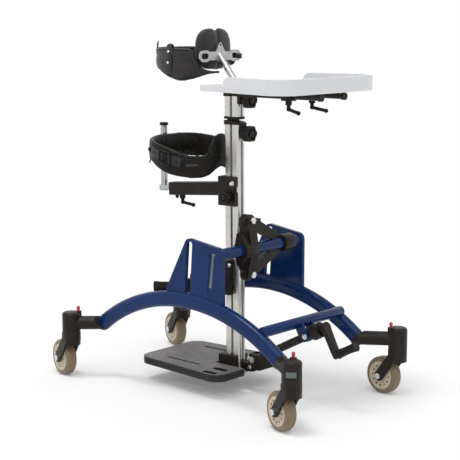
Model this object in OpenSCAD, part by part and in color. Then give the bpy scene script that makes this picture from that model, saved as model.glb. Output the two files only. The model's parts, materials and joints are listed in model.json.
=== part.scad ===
// Standing frame on four swivel casters: arched base, tilting mast, footplate,
// knee, hip and chest supports, tray.
// Millimetres, +Z up, floor at zero. The user stands behind the mast (+Y) and faces the tray (-Y).

/* [Base] */
// Distance between the left and right swivel axes
track = 358; // [330:1:420]
// Distance between the front and rear swivel axes
wheelbase = 628; // [590:1:700]
// Distance between the middles of the two arch tubes
frame_w = 260; // [240:1:290]
// Straight distance between the two ends of an arch tube
arch_chord = 504; // [470:1:540]
// Height of the arch's middle above its ends
arch_rise = 87; // [70:1:100]
// Height of the tube ends above the floor
arch_end_z = 125; // [115:1:140]
// Distance of the arch's middle behind the middle of the casters
arch_shift = 8; // [0:1:20]
// Height of the arch tube's oval section
arch_tall = 34; // [28:1:40]
// Width of the arch tube's oval section
arch_wide = 24; // [20:1:28]
// Wall of the arch tubes
arch_wall = 2; // [1.5:0.1:3]
// Thickness of the side plates
plate_t = 8; // [5:1:10]

/* [Cross tubes] */
// Place of the tilt axis along the frame, negative in front
tilt_y = -81; // [-95:1:-70]
// Height of the tilt axis
tilt_z = 318; // [300:1:340]
// Diameter of the upper cross tube
cross_d = 24; // [20:1:26]
// Place of the lower cross bar along the frame, negative in front
bar_y = -199; // [-210:1:-190]
// Height of the lower cross bar
bar_z = 176; // [170:1:182]
// Diameter of the lower cross bar
bar_d = 22; // [18:1:24]

/* [Casters] */
// Diameter of the caster wheels
wheel_d = 80; // [70:1:84]
// Width of the tyres
tyre_w = 24; // [18:1:26]
// Distance of the wheel axle behind the swivel axis
trail = 36; // [28:1:44]
// Diameter of the swivel housings
housing_d = 40; // [38:1:46]
// Height of the top of the swivel housings
housing_top = 150; // [146:1:160]
// Height of the underside of the swivel housings
housing_low = 104; // [100:1:108]
// Way that the front right wheel trails
front_right_yaw = 19; // [-180:1:180]
// Way that the front left wheel trails
front_left_yaw = 5; // [-180:1:180]
// Way that the rear right wheel trails
rear_right_yaw = 15; // [-180:1:180]
// Way that the rear left wheel trails
rear_left_yaw = 20; // [-180:1:180]

/* [Mast] */
// Lean of the mast towards the user
mast_lean = 0.5; // [0:0.1:3]
// Place along the frame where the mast's axis meets the floor
mast_foot_y = -16; // [-24:1:-8]
// Width of the mast profile across the frame
mast_w = 22; // [20:1:26]
// Depth of the mast profile along the frame
mast_d = 40; // [36:1:46]
// Height of the mast's lower end along its axis
mast_low = 26; // [20:1:32]
// Height of the lower mast's upper end along its axis
mast_top = 573; // [560:1:590]
// Length of the upper mast
upper_len = 58; // [50:1:70]

/* [Spindle and crank] */
// Drop of the spindle pivot below the lower cross bar
lug_drop = 26; // [24:1:32]
// Distance of the spindle pivot in front of the lower cross bar
lug_ahead = 17; // [14:1:22]
// Height of the spindle's eye on the mast, along the mast
eye_z = 76; // [70:1:84]
// Distance of the spindle's eye in front of the mast
eye_ahead = 42.5; // [38:0.5:46]
// Diameter of the spindle tube
spindle_tube_d = 17.5; // [16:0.5:19]
// Length of the crank arm between its axes
crank_reach = 60; // [50:1:70]
// Length of the crank's grip
grip_len = 50; // [40:1:60]

/* [Footplate] */
// Height of the footplate's top
foot_top = 56; // [50:1:64]
// Thickness of the footplate
foot_t = 16; // [12:1:18]
// Length of the footplate
foot_len = 250; // [220:1:260]
// Width of the footplate at the heels
foot_rear_w = 184; // [150:1:190]
// Width of the footplate at the toes
foot_front_w = 224; // [200:1:228]

/* [Hip support] */
// Height of the hip arm along the mast
hip_z = 433; // [430:1:445]
// Length of the hip arm behind the mast
hip_reach = 164; // [150:1:180]
// Inner width of the hip band
hip_band_w = 182; // [170:1:200]
// Inner depth of the hip band
hip_band_d = 136; // [125:1:150]
// Thickness of the hip band
hip_band_t = 14; // [10:1:16]

/* [Chest support and tray] */
// Height of the tray's underside above the upper mast
tray_up = 6; // [2:1:12]
// Width of the tray at the front
tray_front_w = 330; // [300:1:350]
// Width of the tray at its rear tips
tray_rear_w = 236; // [220:1:250]
// Depth of the tray from its front to its rear tips
tray_len = 260; // [240:1:280]
// Height of the middle of the chest plate above the upper mast
chest_up = 73; // [69:1:79]
// Inner width of the chest band
chest_band_w = 136; // [130:1:150]
// Inner depth of the chest band
chest_band_d = 132; // [120:1:145]
// Thickness of the chest band
chest_band_t = 12; // [8:1:14]

/* [Hidden] */

$fn = 48;
// Faces round small pieces
fine = 24;
// Overrun of cuts past the faces that they cut
over = 1;
// Gap beside pieces that move past each other
gap = 0.3;
// Radial clearance of a running fit
run = 0.05;
// Depth of straight flanks inside the round ends that they join
flank_in = 0.04;

frame_blue = [0.10, 0.16, 0.42];
casting_black = [0.14, 0.14, 0.14];
alloy = [0.78, 0.78, 0.77];
steel = [0.72, 0.73, 0.75];
tray_grey = [0.80, 0.81, 0.83];
pad_black = [0.12, 0.12, 0.12];
tyre_brown = [0.55, 0.45, 0.33];

// Arch
arch_r = (pow(arch_chord / 2, 2) + pow(arch_rise, 2)) / (2 * arch_rise);
arch_half = asin(arch_chord / 2 / arch_r);
arch_c_z = arch_end_z + arch_rise - arch_r;
arch_out_r = arch_r + arch_tall / 2;
side_x = frame_w / 2;
spigot_len = 18;
spigot_gap = 0.15;

// Side plates, measured from the tilt axis
plate_front = 16;
plate_front_up = 14;
plate_rear_up = 28;
plate_rear = 84;
plate_foot_rear = 142;
plate_corner_r = 14;
plate_lap = 6;
slot_w = 15;
slot_behind = 76;
slot_top_up = 14;
slot_low_down = 88;
slot_slant = 7;
scale_w = 12;
scale_behind = 14;
scale_top_up = 4;
scale_low_down = 78;
scale_depth = 1.2;

// Lower bar
lug_t = 5;
lug_gap = 27;
lug_bar_r = 10;
lug_pin_r = 4;
lug_end_r = 12;

// Caster details
ball_r = 17;
arm_r = 15;
housing_fillet = 7;
stem_r = 8;
bearing_r = 14;
bearing_h = 11;
stem_top = 138;
pin_r = 3;
pin_tip_r = 3.8;
pin_tall = 11;
pin_travel = 4;
pin_in = 14.5;
pin_along = 8;
pin_boss_r = 7;
pin_boss_up = 0.6;
pin_seat = 4;
leg_t = 4.5;
leg_gap = 2;
crown_low = 92;
leg_end_r = 11;
leg_top_r = 10;
leg_behind = 1;
shroud_low = 76;
shroud_ahead = 6;
axle_r = 4;
axle_head_r = 7;
axle_head_t = 4;
hub_boss_r = 9;
hub_rim_r = 28;
hub_rim_t = 5;
hub_web_t = 8;
hub_holes = 10;
hub_hole_r = 3.4;
hub_hole_ring = 17.5;
tyre_round = 6;

// Mast section
mast_corner = 5;
groove_w = 6;
groove_lip = 2;
groove_chamber_w = 10;
groove_chamber_d = 2.8;
bore_wall = 1.8;
bore_front = 11;
bore_rear = 16.8;
bore_w = mast_w - 2 * (groove_lip + groove_chamber_d + bore_wall);
collar_lip = 2;
collar_h = 9;
collar_boss_w = 16;
collar_boss_t = 7;
collar_boss_down = 28;
mast_gap = 3;
wedge = 4;
knob_d = 35;
knob_t = 15;
knob_lobes = 6;
knob_lobe_share = 0.23;
knob_ring_share = 0.33;
small_knob_d = 26;
small_knob_t = 10;
knob_stem_r = 4;
knob_stem_len = 6;
collar_knob_down = 18;
slide_len = 170;
slide_lock = 14;

// Upper mast, along the mast
upper_low = mast_top + collar_h + mast_gap;
upper_top = upper_low + upper_len;
chest_z = upper_top + chest_up;
tray_z = upper_top + tray_up;
upper_cap = 5;

// Tilt bracket
bracket_ring_r = 20;
bracket_far_r = 18;
near_ring_out = 61;
near_ring_in = 21;
far_ring_in = 70;
far_ring_out = 103;
bracket_leg_in = 45;
bracket_bolt_x = 33;
bracket_up = 61;
bracket_down = 53;
bracket_pad_r = 13;
bracket_leg_r = 11;
bracket_pad_w = 10;
bracket_pad_t = 9;
bracket_pad_shift = 11;
strut_r = 8;
strut_t = 14;
strut_behind = 4;
bolt_r = 4;
bolt_head_r = 7;
bolt_head_t = 5;

// Spindle
spindle_bore_r = 7;
screw_r = 5;
eye_r = 9;
eye_w = 21;
eye_neck = 24;
tube_end_gap = 24;
screw_end_gap = 37;
head_r = 12;
head_back = 9;
head_front = 14;
block_r = 16;
block_len = 22;
trunnion_boss_r = 9;
trunnion_head_r = 7;
trunnion_head_t = 4;
crank_hub_r = 11;
crank_hub_len = 17;
crank_arm_t = 10;
crank_end_r = 8;
grip_r = 10;
grip_waist = 1.5;
grip_pin_r = 4;
grip_cap_r = 6;
grip_cap_t = 3;
cheek_t = 5;
cheek_lead = 4;
cheek_reach = 58;
cheek_r = 9;
cheek_low = 46;
cheek_high = 88;
neck_w = 16;
neck_high = 64;

// Footplate
foot_corner_r = 28;
foot_front_y = -62;
foot_notch_w = 50;
foot_notch_d = 84;
strap_w = 6;
strap_len = 92;
strap_x = 62;
strap_y = 82;
toe_slot_w = 14;
toe_slot_len = 38;
toe_x = 80;
toe_step = 33;
toe_y = -27;
foot_clamp_w = 40;
foot_clamp_low = 36;
foot_clamp_high = 76;
foot_clamp_front = 16;
foot_clamp_rear = 12;
foot_arm_w = 14;
foot_arm_t = 11;
foot_arm_len = 130;
foot_arm_x = 26;

// Hip support
hip_clamp_w = 40;
hip_clamp_down = 32;
hip_clamp_up = 30;
hip_clamp_open = 2;
hip_clamp_rear = 10;
hip_notch_d = 7;
hip_notch_down = 3;
hip_notch_up = 9;
hip_arm_w = 24;
hip_arm_h = 28;
hip_arm_wall = 3;
hip_arm_up = 4;
hip_slope = 4.3;
hip_rod_in = 90;
hip_post_r = 7.5;
hip_post_down = 4;
hip_post_up = 141;
hip_post_gap = 25;
hip_foot_r = 11;
hip_foot_up = 8;
hip_neck_w = 12;
hip_cap_r = 8.5;
hip_cap_t = 5;
hip_grip_w = 26;
hip_grip_low = 48;
hip_grip_high = 108;
hip_grip_front = 11;
hip_grip_rear = 9;
hip_knob_down = 12;
hip_lever_in = 29;
hip_low_up = 26;
hip_high_up = 75;
hip_lift = 33;
hip_rise = 36;
// Turn from the front against the share of the lift or rise
hip_lift_shares = [[0, 0.64], [8, 0.42], [16, 0.12], [26, 0], [42, 0], [60, 0.09], [76, 0.18], [88, 0.32],
                   [96, 0.55], [104, 0.78], [114, 0.96], [126, 1], [180, 1]];
hip_rise_shares = [[0, 0], [30, 0.01], [50, 0.06], [66, 0.25], [76, 0.38], [88, 0.55], [100, 0.70],
                   [113, 0.80],                   [127, 0.88], [142, 0.95], [160, 1], [180, 1]];
hip_pommel = 46;
hip_pommel_spread = 13;
hip_pommel_power = 4;
hip_band_clear = 0.4;

// Levers
lever_hub_r = 6.5;
lever_hub_h = 8;
lever_stem_r = 4;
lever_stem_in = 1.5;
lever_fall = 17;
lever_reach = 32;
lever_drop = 6;
lever_r = 3.5;
lever_tip_r = 4.5;
lever_seat = 0.5;
lever_splay = 13;

// Tray
tray_rear_y = -15;
tray_t = 11;
rim_h = 20;
rim_t = 9;
rim_start = 82;
rim_end_r = 15;
tray_corner_r = 44;
tray_tip_r = 16;
belly_w = 116;
belly_front = 62;
belly_r = 30;
rail_r = 6;
rail_x = 38;
rail_front_y = -272;
rail_rear_y = -26;
rail_cap_r = 7.5;
rail_cap_l = 8;
rail_drop = 8;
cross_w = 96;
cross_t = 16;
cross_boss_w = 28;
clamp_y = -188;
clamp_w = 20;
clamp_l = 24;
clamp_low = 3;
tray_knob_up = 40;
tray_boss_t = 8;
tray_boss_down = 8;

// Chest support
post_r = 7.5;
post_foot_r = 10;
post_foot_h = 4;
post_tongue = 38;
post_hub_down = 2.57;
post_bend_r = 18;
post_bend = 38.5;
post_lap = 3;
post_step = 0.5;
post_y = 0;
chest_plate_y = 37.5;
chest_plate_t = 3;
chest_eye_x = 48;
chest_eye_r = 12;
chest_eye_run = 5;
chest_eye_slot = 12;
chest_bar_h = 18;
chest_tip_up = 28;
chest_tip_w = 20;
chest_tip_hole_r = 2.5;
chest_hub_r = 11;
pad_w = 104;
pad_h = 82;
pad_mid = 11;
pad_t = 19;
pad_wrap = 2;
pad_split = 7;
pad_split_w = 7;
pad_clear = 0.4;
chest_low_down = 54;
chest_lift = 36;
chest_high_down = 31;
chest_rise = 49;
// Turn from the front against the share of the lift or rise, on the right and on the left
chest_right_low_shares = [[0, 0.47], [14, 0.44], [25, 0.40], [44, 0.20], [57, 0.08], [72, 0], [80, 0.02],
                          [89, 0.12], [100, 0.33], [115, 0.60], [140, 0.90], [180, 1]];
chest_left_low_shares = [[46, 0.85], [70, 0.80], [100, 0.88], [140, 1], [180, 1]];
chest_right_high_shares = [[0, 0], [10, 0], [20, 0.03], [26, 0.07], [34, 0.14], [40, 0.27], [44, 0.38],
                           [47, 0.55], [52, 0.92], [57, 1], [180, 1]];
chest_left_high_shares = [[46, 0.76], [70, 0.92], [100, 1], [180, 1]];
chest_strap_t = 3;
chest_strap_h = 16;
chest_open = 46;
chest_right_open = 3;
chest_front_y = 34;

// Knee support
knee_low = 209;
knee_high = 284;
knee_cheek_w = 48;
knee_front = 2;
knee_rear = 9;
knee_bar_w = 128;
knee_bar_t = 10;
knee_bar_h = 20;
knee_bar_up = 9;
knee_arm_r = 6;
knee_arm_len = 28;
knee_x = 58;
knee_cup_w = 62;
knee_cup_d = 212;
knee_cup_t = 12;
knee_cup_half = 26;
knee_cup_taper = 13;
knee_open = 8;

function unit(v) = v / norm(v);

// World place of a point given in the mast's own frame, and back
function from_mast(p) = [
    mast_foot_y + p[0] * cos(mast_lean) + p[1] * sin(mast_lean),
    -p[0] * sin(mast_lean) + p[1] * cos(mast_lean)
];
function to_mast(p) = [
    (p[0] - mast_foot_y) * cos(mast_lean) - p[1] * sin(mast_lean),
    (p[0] - mast_foot_y) * sin(mast_lean) + p[1] * cos(mast_lean)
];

tilt_on_mast = to_mast([tilt_y, tilt_z]);
eye_on_mast = [-mast_d / 2 - eye_ahead, eye_z];
eye_place = from_mast(eye_on_mast);
lug_place = [bar_y - lug_ahead, bar_z - lug_drop];
spindle_way = lug_place - eye_place;
spindle_len = norm(spindle_way);
spindle_turn = atan2(-spindle_way[0], spindle_way[1]);
hip_post_out = mast_d / 2 + hip_reach + hip_post_gap;
hip_post_foot = [hip_post_out * cos(hip_slope), hip_z + hip_arm_up - hip_post_out * sin(hip_slope)];

// Corners of a plan outline with each corner rounded by an arc
function rounded(points, radii) = [
    for (i = [0 : len(points) - 1])
        let (
            p = points[i],
            u = unit(points[(i + len(points) - 1) % len(points)] - p),
            v = unit(points[(i + 1) % len(points)] - p),
            half = acos(u * v) / 2,
            middle = p + unit(u + v) * radii[i] / sin(half),
            start = p + u * radii[i] / tan(half) - middle,
            from = atan2(start[1], start[0]),
            side = u[0] * v[1] - u[1] * v[0] > 0 ? -1 : 1,
            steps = 8
        )
        for (k = [0 : steps])
            middle + radii[i] * [cos(from + side * k * (180 - 2 * half) / steps),
                                 sin(from + side * k * (180 - 2 * half) / steps)]
];

module on_mast() {
    translate([0, mast_foot_y, 0]) rotate([-mast_lean, 0, 0]) children();
}

module on_spindle() {
    translate([0, lug_place[0], lug_place[1]]) rotate([spindle_turn, 0, 0]) children();
}

module both_sides() {
    children();
    mirror([1, 0, 0]) children();
}

module box(x, y, z) {
    translate([x[0], y[0], z[0]]) cube([x[1] - x[0], y[1] - y[0], z[1] - z[0]]);
}

module rod_x(r, x) {
    translate([x[0], 0, 0]) rotate([0, 90, 0]) cylinder(r = r, h = x[1] - x[0]);
}

module rod_y(r, y) {
    translate([0, y[0], 0]) rotate([-90, 0, 0]) cylinder(r = r, h = y[1] - y[0]);
}

module rod_z(r, z) {
    translate([0, 0, z[0]]) cylinder(r = r, h = z[1] - z[0]);
}

// A side view drawn in (y, z), made solid between two x
module slab_x(x) {
    translate([x[0], 0, 0]) rotate([90, 0, 90]) linear_extrude(x[1] - x[0]) children();
}

// A front view drawn in (x, z), made solid between two y
module slab_y(y) {
    translate([0, y[1], 0]) rotate([90, 0, 0]) linear_extrude(y[1] - y[0]) children();
}

// A plan drawn in (x, y), made solid between two z
module slab_z(z) {
    translate([0, 0, z[0]]) linear_extrude(z[1] - z[0]) children();
}

// Two round ends with straight flanks between them, the flanks a hair inside the round ends
module link(a, ra, b, rb) {
    way = atan2(b[1] - a[1], b[0] - a[0]);
    lean = acos((ra - rb) / norm(b - a));
    function edge(c, r, s) = c + (r - flank_in) * [cos(way + s * lean), sin(way + s * lean)];
    translate(a) circle(r = ra);
    translate(b) circle(r = rb);
    polygon([edge(a, ra, 1), edge(b, rb, 1), edge(b, rb, -1), edge(a, ra, -1)]);
}

// Rectangle with round corners, about the origin
module round_rect(w, d, r) {
    square([w - 2 * r, d], center = true);
    square([w, d - 2 * r], center = true);
    for (x = [-1, 1], y = [-1, 1]) translate([x * (w / 2 - r), y * (d / 2 - r)]) circle(r = r);
}

// Long hole between two points
module slot(a, b, w) {
    link(a, w / 2, b, w / 2);
}

// Closed tube of rings, each a list of points; ends are closed unless the rings run round
module loft(rings, round_trip) {
    n = len(rings);
    m = len(rings[0]);
    sides = [
        for (i = [0 : n - (round_trip ? 1 : 2)], j = [0 : m - 1])
            let (a = i * m + j, b = i * m + (j + 1) % m,
                 c = (i + 1) % n * m + (j + 1) % m, d = (i + 1) % n * m + j)
            each [[a, b, c], [a, c, d]]
    ];
    ends = round_trip ? [] : [
        for (j = [1 : m - 2]) each [[0, j + 1, j], [(n - 1) * m, (n - 1) * m + j, (n - 1) * m + j + 1]]
    ];
    polyhedron(points = [for (ring = rings) each ring], faces = concat(sides, ends));
}

// Share of a padded section's half size at an angle round it
section_round_share = 0.62;
function swell(a) = sign(a) * pow(abs(a), section_round_share);

// Padded section standing at a plan point, with its flat side along the plan direction
function padded_ring(at, way, t, low, high, sides) = [
    for (j = [0 : sides - 1])
        let (
            a = 360 * j / sides,
            out = swell(cos(a)) * t / 2,
            up = (low + high) / 2 + swell(sin(a)) * (high - low) / 2
        )
        [at[0] + way[1] * out, at[1] - way[0] * out, up]
];

// Base frame

module arch_section(inset) {
    straight = arch_tall - arch_wide;
    square([straight, arch_wide - 2 * inset], center = true);
    for (s = [-1, 1]) translate([s * straight / 2, 0]) circle(r = arch_wide / 2 - inset);
}

module arch_sweep(inset, extra) {
    translate([0, arch_shift, arch_c_z]) rotate([90, 0, 90]) rotate([0, 0, 90 - arch_half - extra])
        rotate_extrude(angle = 2 * (arch_half + extra), $fn = 128) translate([arch_r, 0]) arch_section(inset);
}

module arch_tube() {
    bore_extra = 1;
    color(frame_blue) difference() {
        arch_sweep(0, 0);
        arch_sweep(arch_wall, bore_extra);
    }
}

module right_arch_tube() {
    translate([-side_x, 0, 0]) arch_tube();
}

module left_arch_tube() {
    translate([side_x, 0, 0]) arch_tube();
}

module plate_outline() {
    corners = [
        [tilt_y - plate_front, tilt_z + plate_front_up],
        [tilt_y - plate_front, arch_c_z + arch_out_r - arch_tall],
        [tilt_y + plate_foot_rear + plate_lap, arch_c_z + arch_out_r - arch_tall],
        [tilt_y + plate_foot_rear, arch_c_z + arch_out_r + plate_lap],
        [tilt_y + plate_rear, tilt_z + plate_rear_up]
    ];
    radii = [plate_corner_r, plate_lap, plate_lap, plate_lap, plate_corner_r];
    difference() {
        polygon(rounded(corners, radii));
        translate([arch_shift, arch_c_z]) circle(r = arch_out_r, $fn = 200);
        slot([tilt_y + slot_behind, tilt_z + slot_top_up],
             [tilt_y + slot_behind + slot_slant, tilt_z - slot_low_down], slot_w);
    }
}

module side_plate() {
    color(frame_blue) difference() {
        slab_x([-side_x - plate_t / 2, -side_x + plate_t / 2]) plate_outline();
        slab_x([-side_x - plate_t / 2 - over, -side_x - plate_t / 2 + scale_depth])
            slot([tilt_y + scale_behind, tilt_z + scale_top_up],
                 [tilt_y + scale_behind + slot_slant, tilt_z - scale_low_down], scale_w);
    }
}

module right_side_plate() {
    side_plate();
}

module left_side_plate() {
    mirror([1, 0, 0]) side_plate();
}

module upper_cross_tube() {
    reach = side_x - plate_t / 2;
    color(frame_blue) translate([0, tilt_y, tilt_z]) difference() {
        rod_x(cross_d / 2, [-reach, reach]);
        rod_x(cross_d / 2 - arch_wall, [-reach - over, reach + over]);
    }
}

module lower_cross_bar() {
    color(frame_blue) difference() {
        union() {
            translate([0, bar_y, bar_z]) rod_x(bar_d / 2, [-side_x, side_x]);
            both_sides() slab_x([lug_gap / 2, lug_gap / 2 + lug_t])
                link([bar_y, bar_z], lug_bar_r, lug_place, lug_end_r);
        }
        for (s = [-1, 1]) translate([s * side_x, 0, 0]) arch_sweep(0, over);
        translate([0, lug_place[0], lug_place[1]]) rod_x(lug_pin_r + run, [-lug_gap, lug_gap]);
    }
}

// Casters

function swivel(side, end) = [side * track / 2, end * wheelbase / 2];
function pin_place(side, end) = swivel(side, end) - [side * pin_in, end * pin_along];

module caster_arm(side, end) {
    slope = arch_half;
    foot = [side * side_x, arch_shift + end * arch_chord / 2, arch_end_z];
    at = swivel(side, end);
    way = [at[0] - foot[0], at[1] - foot[1]];
    pin_at = pin_place(side, end);
    difference() {
        union() {
            translate(foot) sphere(r = ball_r);
            translate(foot) rotate([0, 0, atan2(way[1], way[0])]) rod_x(arm_r, [0, norm(way)]);
            translate([at[0], at[1], 0]) {
                rod_z(housing_d / 2, [housing_low, housing_top - housing_fillet]);
                rod_z(housing_d / 2 - housing_fillet, [housing_low, housing_top]);
                translate([0, 0, housing_top - housing_fillet])
                    rotate_extrude()
                        translate([housing_d / 2 - housing_fillet, 0]) circle(r = housing_fillet);
            }
            translate([pin_at[0], pin_at[1], 0]) rod_z(pin_boss_r, [arch_end_z, pin_boss_top]);
        }
        translate(foot) rotate([-end * slope, 0, 0]) translate([0, -end * arch_tall, 0])
            cube([2 * arch_tall, 2 * arch_tall, 2 * arch_tall], center = true);
        translate([at[0], at[1], 0]) rod_z(bearing_r, [housing_low - over, stem_top + run]);
        translate([pin_at[0], pin_at[1], 0])
            rod_z(pin_r + run, [pin_boss_top - pin_seat - pin_travel - gap, pin_boss_top + over]);
    }
    translate(foot) rotate([-end * slope, 0, 0]) translate([0, -end * spigot_len / 2, 0]) rotate([90, 0, 0])
        linear_extrude(spigot_len, center = true) rotate([0, 0, 90]) arch_section(arch_wall + spigot_gap);
}

module caster_arms() {
    color(casting_black) for (side = [-1, 1], end = [-1, 1]) caster_arm(side, end);
}

module caster_bearings() {
    color(steel) for (side = [-1, 1], end = [-1, 1])
        translate([swivel(side, end)[0], swivel(side, end)[1], 0])
        for (low = [housing_low, stem_top - bearing_h]) difference() {
            rod_z(bearing_r, [low, low + bearing_h]);
            rod_z(stem_r + run, [low - over, low + bearing_h + over]);
        }
}

module at_caster(side, end, yaw) {
    translate([swivel(side, end)[0], swivel(side, end)[1], 0]) rotate([0, 0, -yaw]) children();
}

module at_axle(side, end, yaw) {
    at_caster(side, end, yaw) translate([0, trail, wheel_d / 2]) children();
}

pin_boss_top = housing_top + pin_boss_up;
leg_in = tyre_w / 2 + leg_gap;
leg_out = leg_in + leg_t;

module fork() {
    crown_top = housing_low - gap;
    leg_y = leg_behind - leg_top_r;
    color(casting_black) {
        difference() {
            union() {
                rod_z(housing_d / 2, [crown_low, crown_top]);
                slab_z([shroud_low, crown_low + over]) difference() {
                    circle(r = housing_d / 2);
                    translate([-housing_d, -shroud_ahead]) square([2 * housing_d, housing_d]);
                }
                for (s = [-1, 1]) slab_x([s > 0 ? leg_in : -leg_out, s > 0 ? leg_out : -leg_in]) {
                    link([leg_behind, crown_low - leg_t], leg_top_r, [trail, wheel_d / 2], leg_end_r);
                    translate([leg_y, crown_low - leg_t])
                        square([2 * leg_top_r, crown_top - crown_low + leg_t]);
                }
            }
            translate([0, trail, wheel_d / 2]) rod_x(axle_r, [-leg_out - over, leg_out + over]);
        }
        rod_z(stem_r, [crown_low, stem_top - gap]);
    }
}

module axle() {
    color(steel) {
        rod_x(axle_r, [-leg_out, leg_out]);
        for (s = [-1, 1]) rotate([0, s * 90, 0]) translate([0, 0, leg_out])
            cylinder(r = axle_head_r, h = axle_head_t, $fn = 6);
    }
}

module tyre() {
    outer = wheel_d / 2;
    color(tyre_brown) rotate([0, 90, 0]) rotate_extrude($fn = 96) {
        translate([hub_rim_r, -tyre_w / 2]) square([outer - tyre_round - hub_rim_r, tyre_w]);
        translate([hub_rim_r, -tyre_w / 2 + tyre_round]) square([outer - hub_rim_r, tyre_w - 2 * tyre_round]);
        for (s = [-1, 1])
            translate([outer - tyre_round, s * (tyre_w / 2 - tyre_round)]) circle(r = tyre_round);
    }
}

module hub() {
    color([0.84, 0.77, 0.64]) difference() {
        union() {
            rod_x(hub_boss_r, [-leg_in + gap, leg_in - gap]);
            rod_x(hub_rim_r - hub_rim_t + over, [-hub_web_t / 2, hub_web_t / 2]);
            difference() {
                rod_x(hub_rim_r, [-tyre_w / 2, tyre_w / 2]);
                rod_x(hub_rim_r - hub_rim_t, [-tyre_w, tyre_w]);
            }
        }
        rod_x(axle_r + run, [-tyre_w, tyre_w]);
        for (k = [0 : hub_holes - 1]) rotate([k * 360 / hub_holes, 0, 0]) translate([0, hub_hole_ring, 0])
            rod_x(hub_hole_r, [-tyre_w, tyre_w]);
    }
}

module lock_pin(side, end) {
    pin_at = pin_place(side, end);
    color([0.72, 0.06, 0.10]) translate([pin_at[0], pin_at[1], pin_boss_top]) {
        rod_z(pin_r, [-pin_seat, pin_tall]);
        rod_z(pin_tip_r, [pin_travel + gap, pin_tall - pin_tip_r]);
        translate([0, 0, pin_tall - pin_tip_r]) sphere(r = pin_tip_r);
    }
}

module front_right_fork() { at_caster(-1, -1, front_right_yaw) fork(); }
module front_left_fork() { at_caster(1, -1, front_left_yaw) fork(); }
module rear_right_fork() { at_caster(-1, 1, rear_right_yaw) fork(); }
module rear_left_fork() { at_caster(1, 1, rear_left_yaw) fork(); }
module front_right_axle() { at_axle(-1, -1, front_right_yaw) axle(); }
module front_left_axle() { at_axle(1, -1, front_left_yaw) axle(); }
module rear_right_axle() { at_axle(-1, 1, rear_right_yaw) axle(); }
module rear_left_axle() { at_axle(1, 1, rear_left_yaw) axle(); }
module front_right_tyre() { at_axle(-1, -1, front_right_yaw) tyre(); }
module front_left_tyre() { at_axle(1, -1, front_left_yaw) tyre(); }
module rear_right_tyre() { at_axle(-1, 1, rear_right_yaw) tyre(); }
module rear_left_tyre() { at_axle(1, 1, rear_left_yaw) tyre(); }
module front_right_hub() { at_axle(-1, -1, front_right_yaw) hub(); }
module front_left_hub() { at_axle(1, -1, front_left_yaw) hub(); }
module rear_right_hub() { at_axle(-1, 1, rear_right_yaw) hub(); }
module rear_left_hub() { at_axle(1, 1, rear_left_yaw) hub(); }
module front_right_pin() { lock_pin(-1, -1); }
module front_left_pin() { lock_pin(1, -1); }
module rear_right_pin() { lock_pin(-1, 1); }
module rear_left_pin() { lock_pin(1, 1); }

// Mast

module groove() {
    translate([-groove_w / 2, -over]) square([groove_w, groove_lip + 2 * over]);
    translate([-groove_chamber_w / 2, groove_lip]) square([groove_chamber_w, groove_chamber_d]);
}

module mast_bore(inset) {
    translate([-bore_w / 2 + inset, -bore_front + inset])
        square([bore_w - 2 * inset, bore_front + bore_rear - 2 * inset]);
}

module mast_section() {
    difference() {
        round_rect(mast_w, mast_d, mast_corner);
        mast_bore(0);
        translate([0, -mast_d / 2]) groove();
        translate([mast_w / 2, 0]) rotate([0, 0, 90]) groove();
        translate([-mast_w / 2, 0]) rotate([0, 0, -90]) groove();
    }
}

module mast_profile() {
    color(alloy) on_mast() slab_z([mast_low, mast_top]) mast_section();
}

module knob_boss_bore(z) {
    translate([0, -mast_d / 2, z]) rod_y(knob_stem_r + run, [-mast_d, mast_d / 4]);
}

module mast_collar() {
    color(casting_black) on_mast() difference() {
        union() {
            slab_z([mast_top, mast_top + collar_h])
                round_rect(mast_w + 2 * collar_lip, mast_d + 2 * collar_lip, mast_corner + collar_lip);
            box([-collar_boss_w / 2, collar_boss_w / 2], [-mast_d / 2 - collar_boss_t, -mast_d / 2],
                [mast_top - collar_boss_down, mast_top + collar_h]);
        }
        slab_z([mast_top - over, mast_top + collar_h + over]) mast_bore(0);
        translate([0, 0, mast_top - collar_knob_down]) knob_boss_bore(0);
        slab_x([-mast_w, mast_w]) polygon([
            [-mast_d, mast_top + collar_h - wedge - wedge / 2], [0, mast_top + collar_h],
            [0, mast_top + collar_h + wedge], [-mast_d, mast_top + collar_h + wedge]
        ]);
    }
}

// Star knob on an axis along Y, its seat at the origin and its face towards -Y
module star_knob(d, t) {
    lobe_r = d * knob_lobe_share;
    color(casting_black) {
        rod_y(knob_stem_r, [-knob_stem_len - t, knob_stem_len]);
        difference() {
            slab_y([-knob_stem_len - t, -knob_stem_len]) {
                circle(r = d / 2 - lobe_r / 2);
                for (k = [0 : knob_lobes - 1]) rotate([0, 0, k * 360 / knob_lobes])
                    translate([d / 2 - lobe_r, 0]) circle(r = lobe_r);
            }
            translate([0, -knob_stem_len - t, 0]) difference() {
                rod_y(d * knob_ring_share, [-over, t / 4]);
                rod_y(lobe_r, [-t, t]);
            }
        }
    }
}

module collar_knob() {
    on_mast() translate([0, -mast_d / 2 - collar_boss_t - gap, mast_top - collar_knob_down])
        star_knob(knob_d, knob_t);
}

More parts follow.
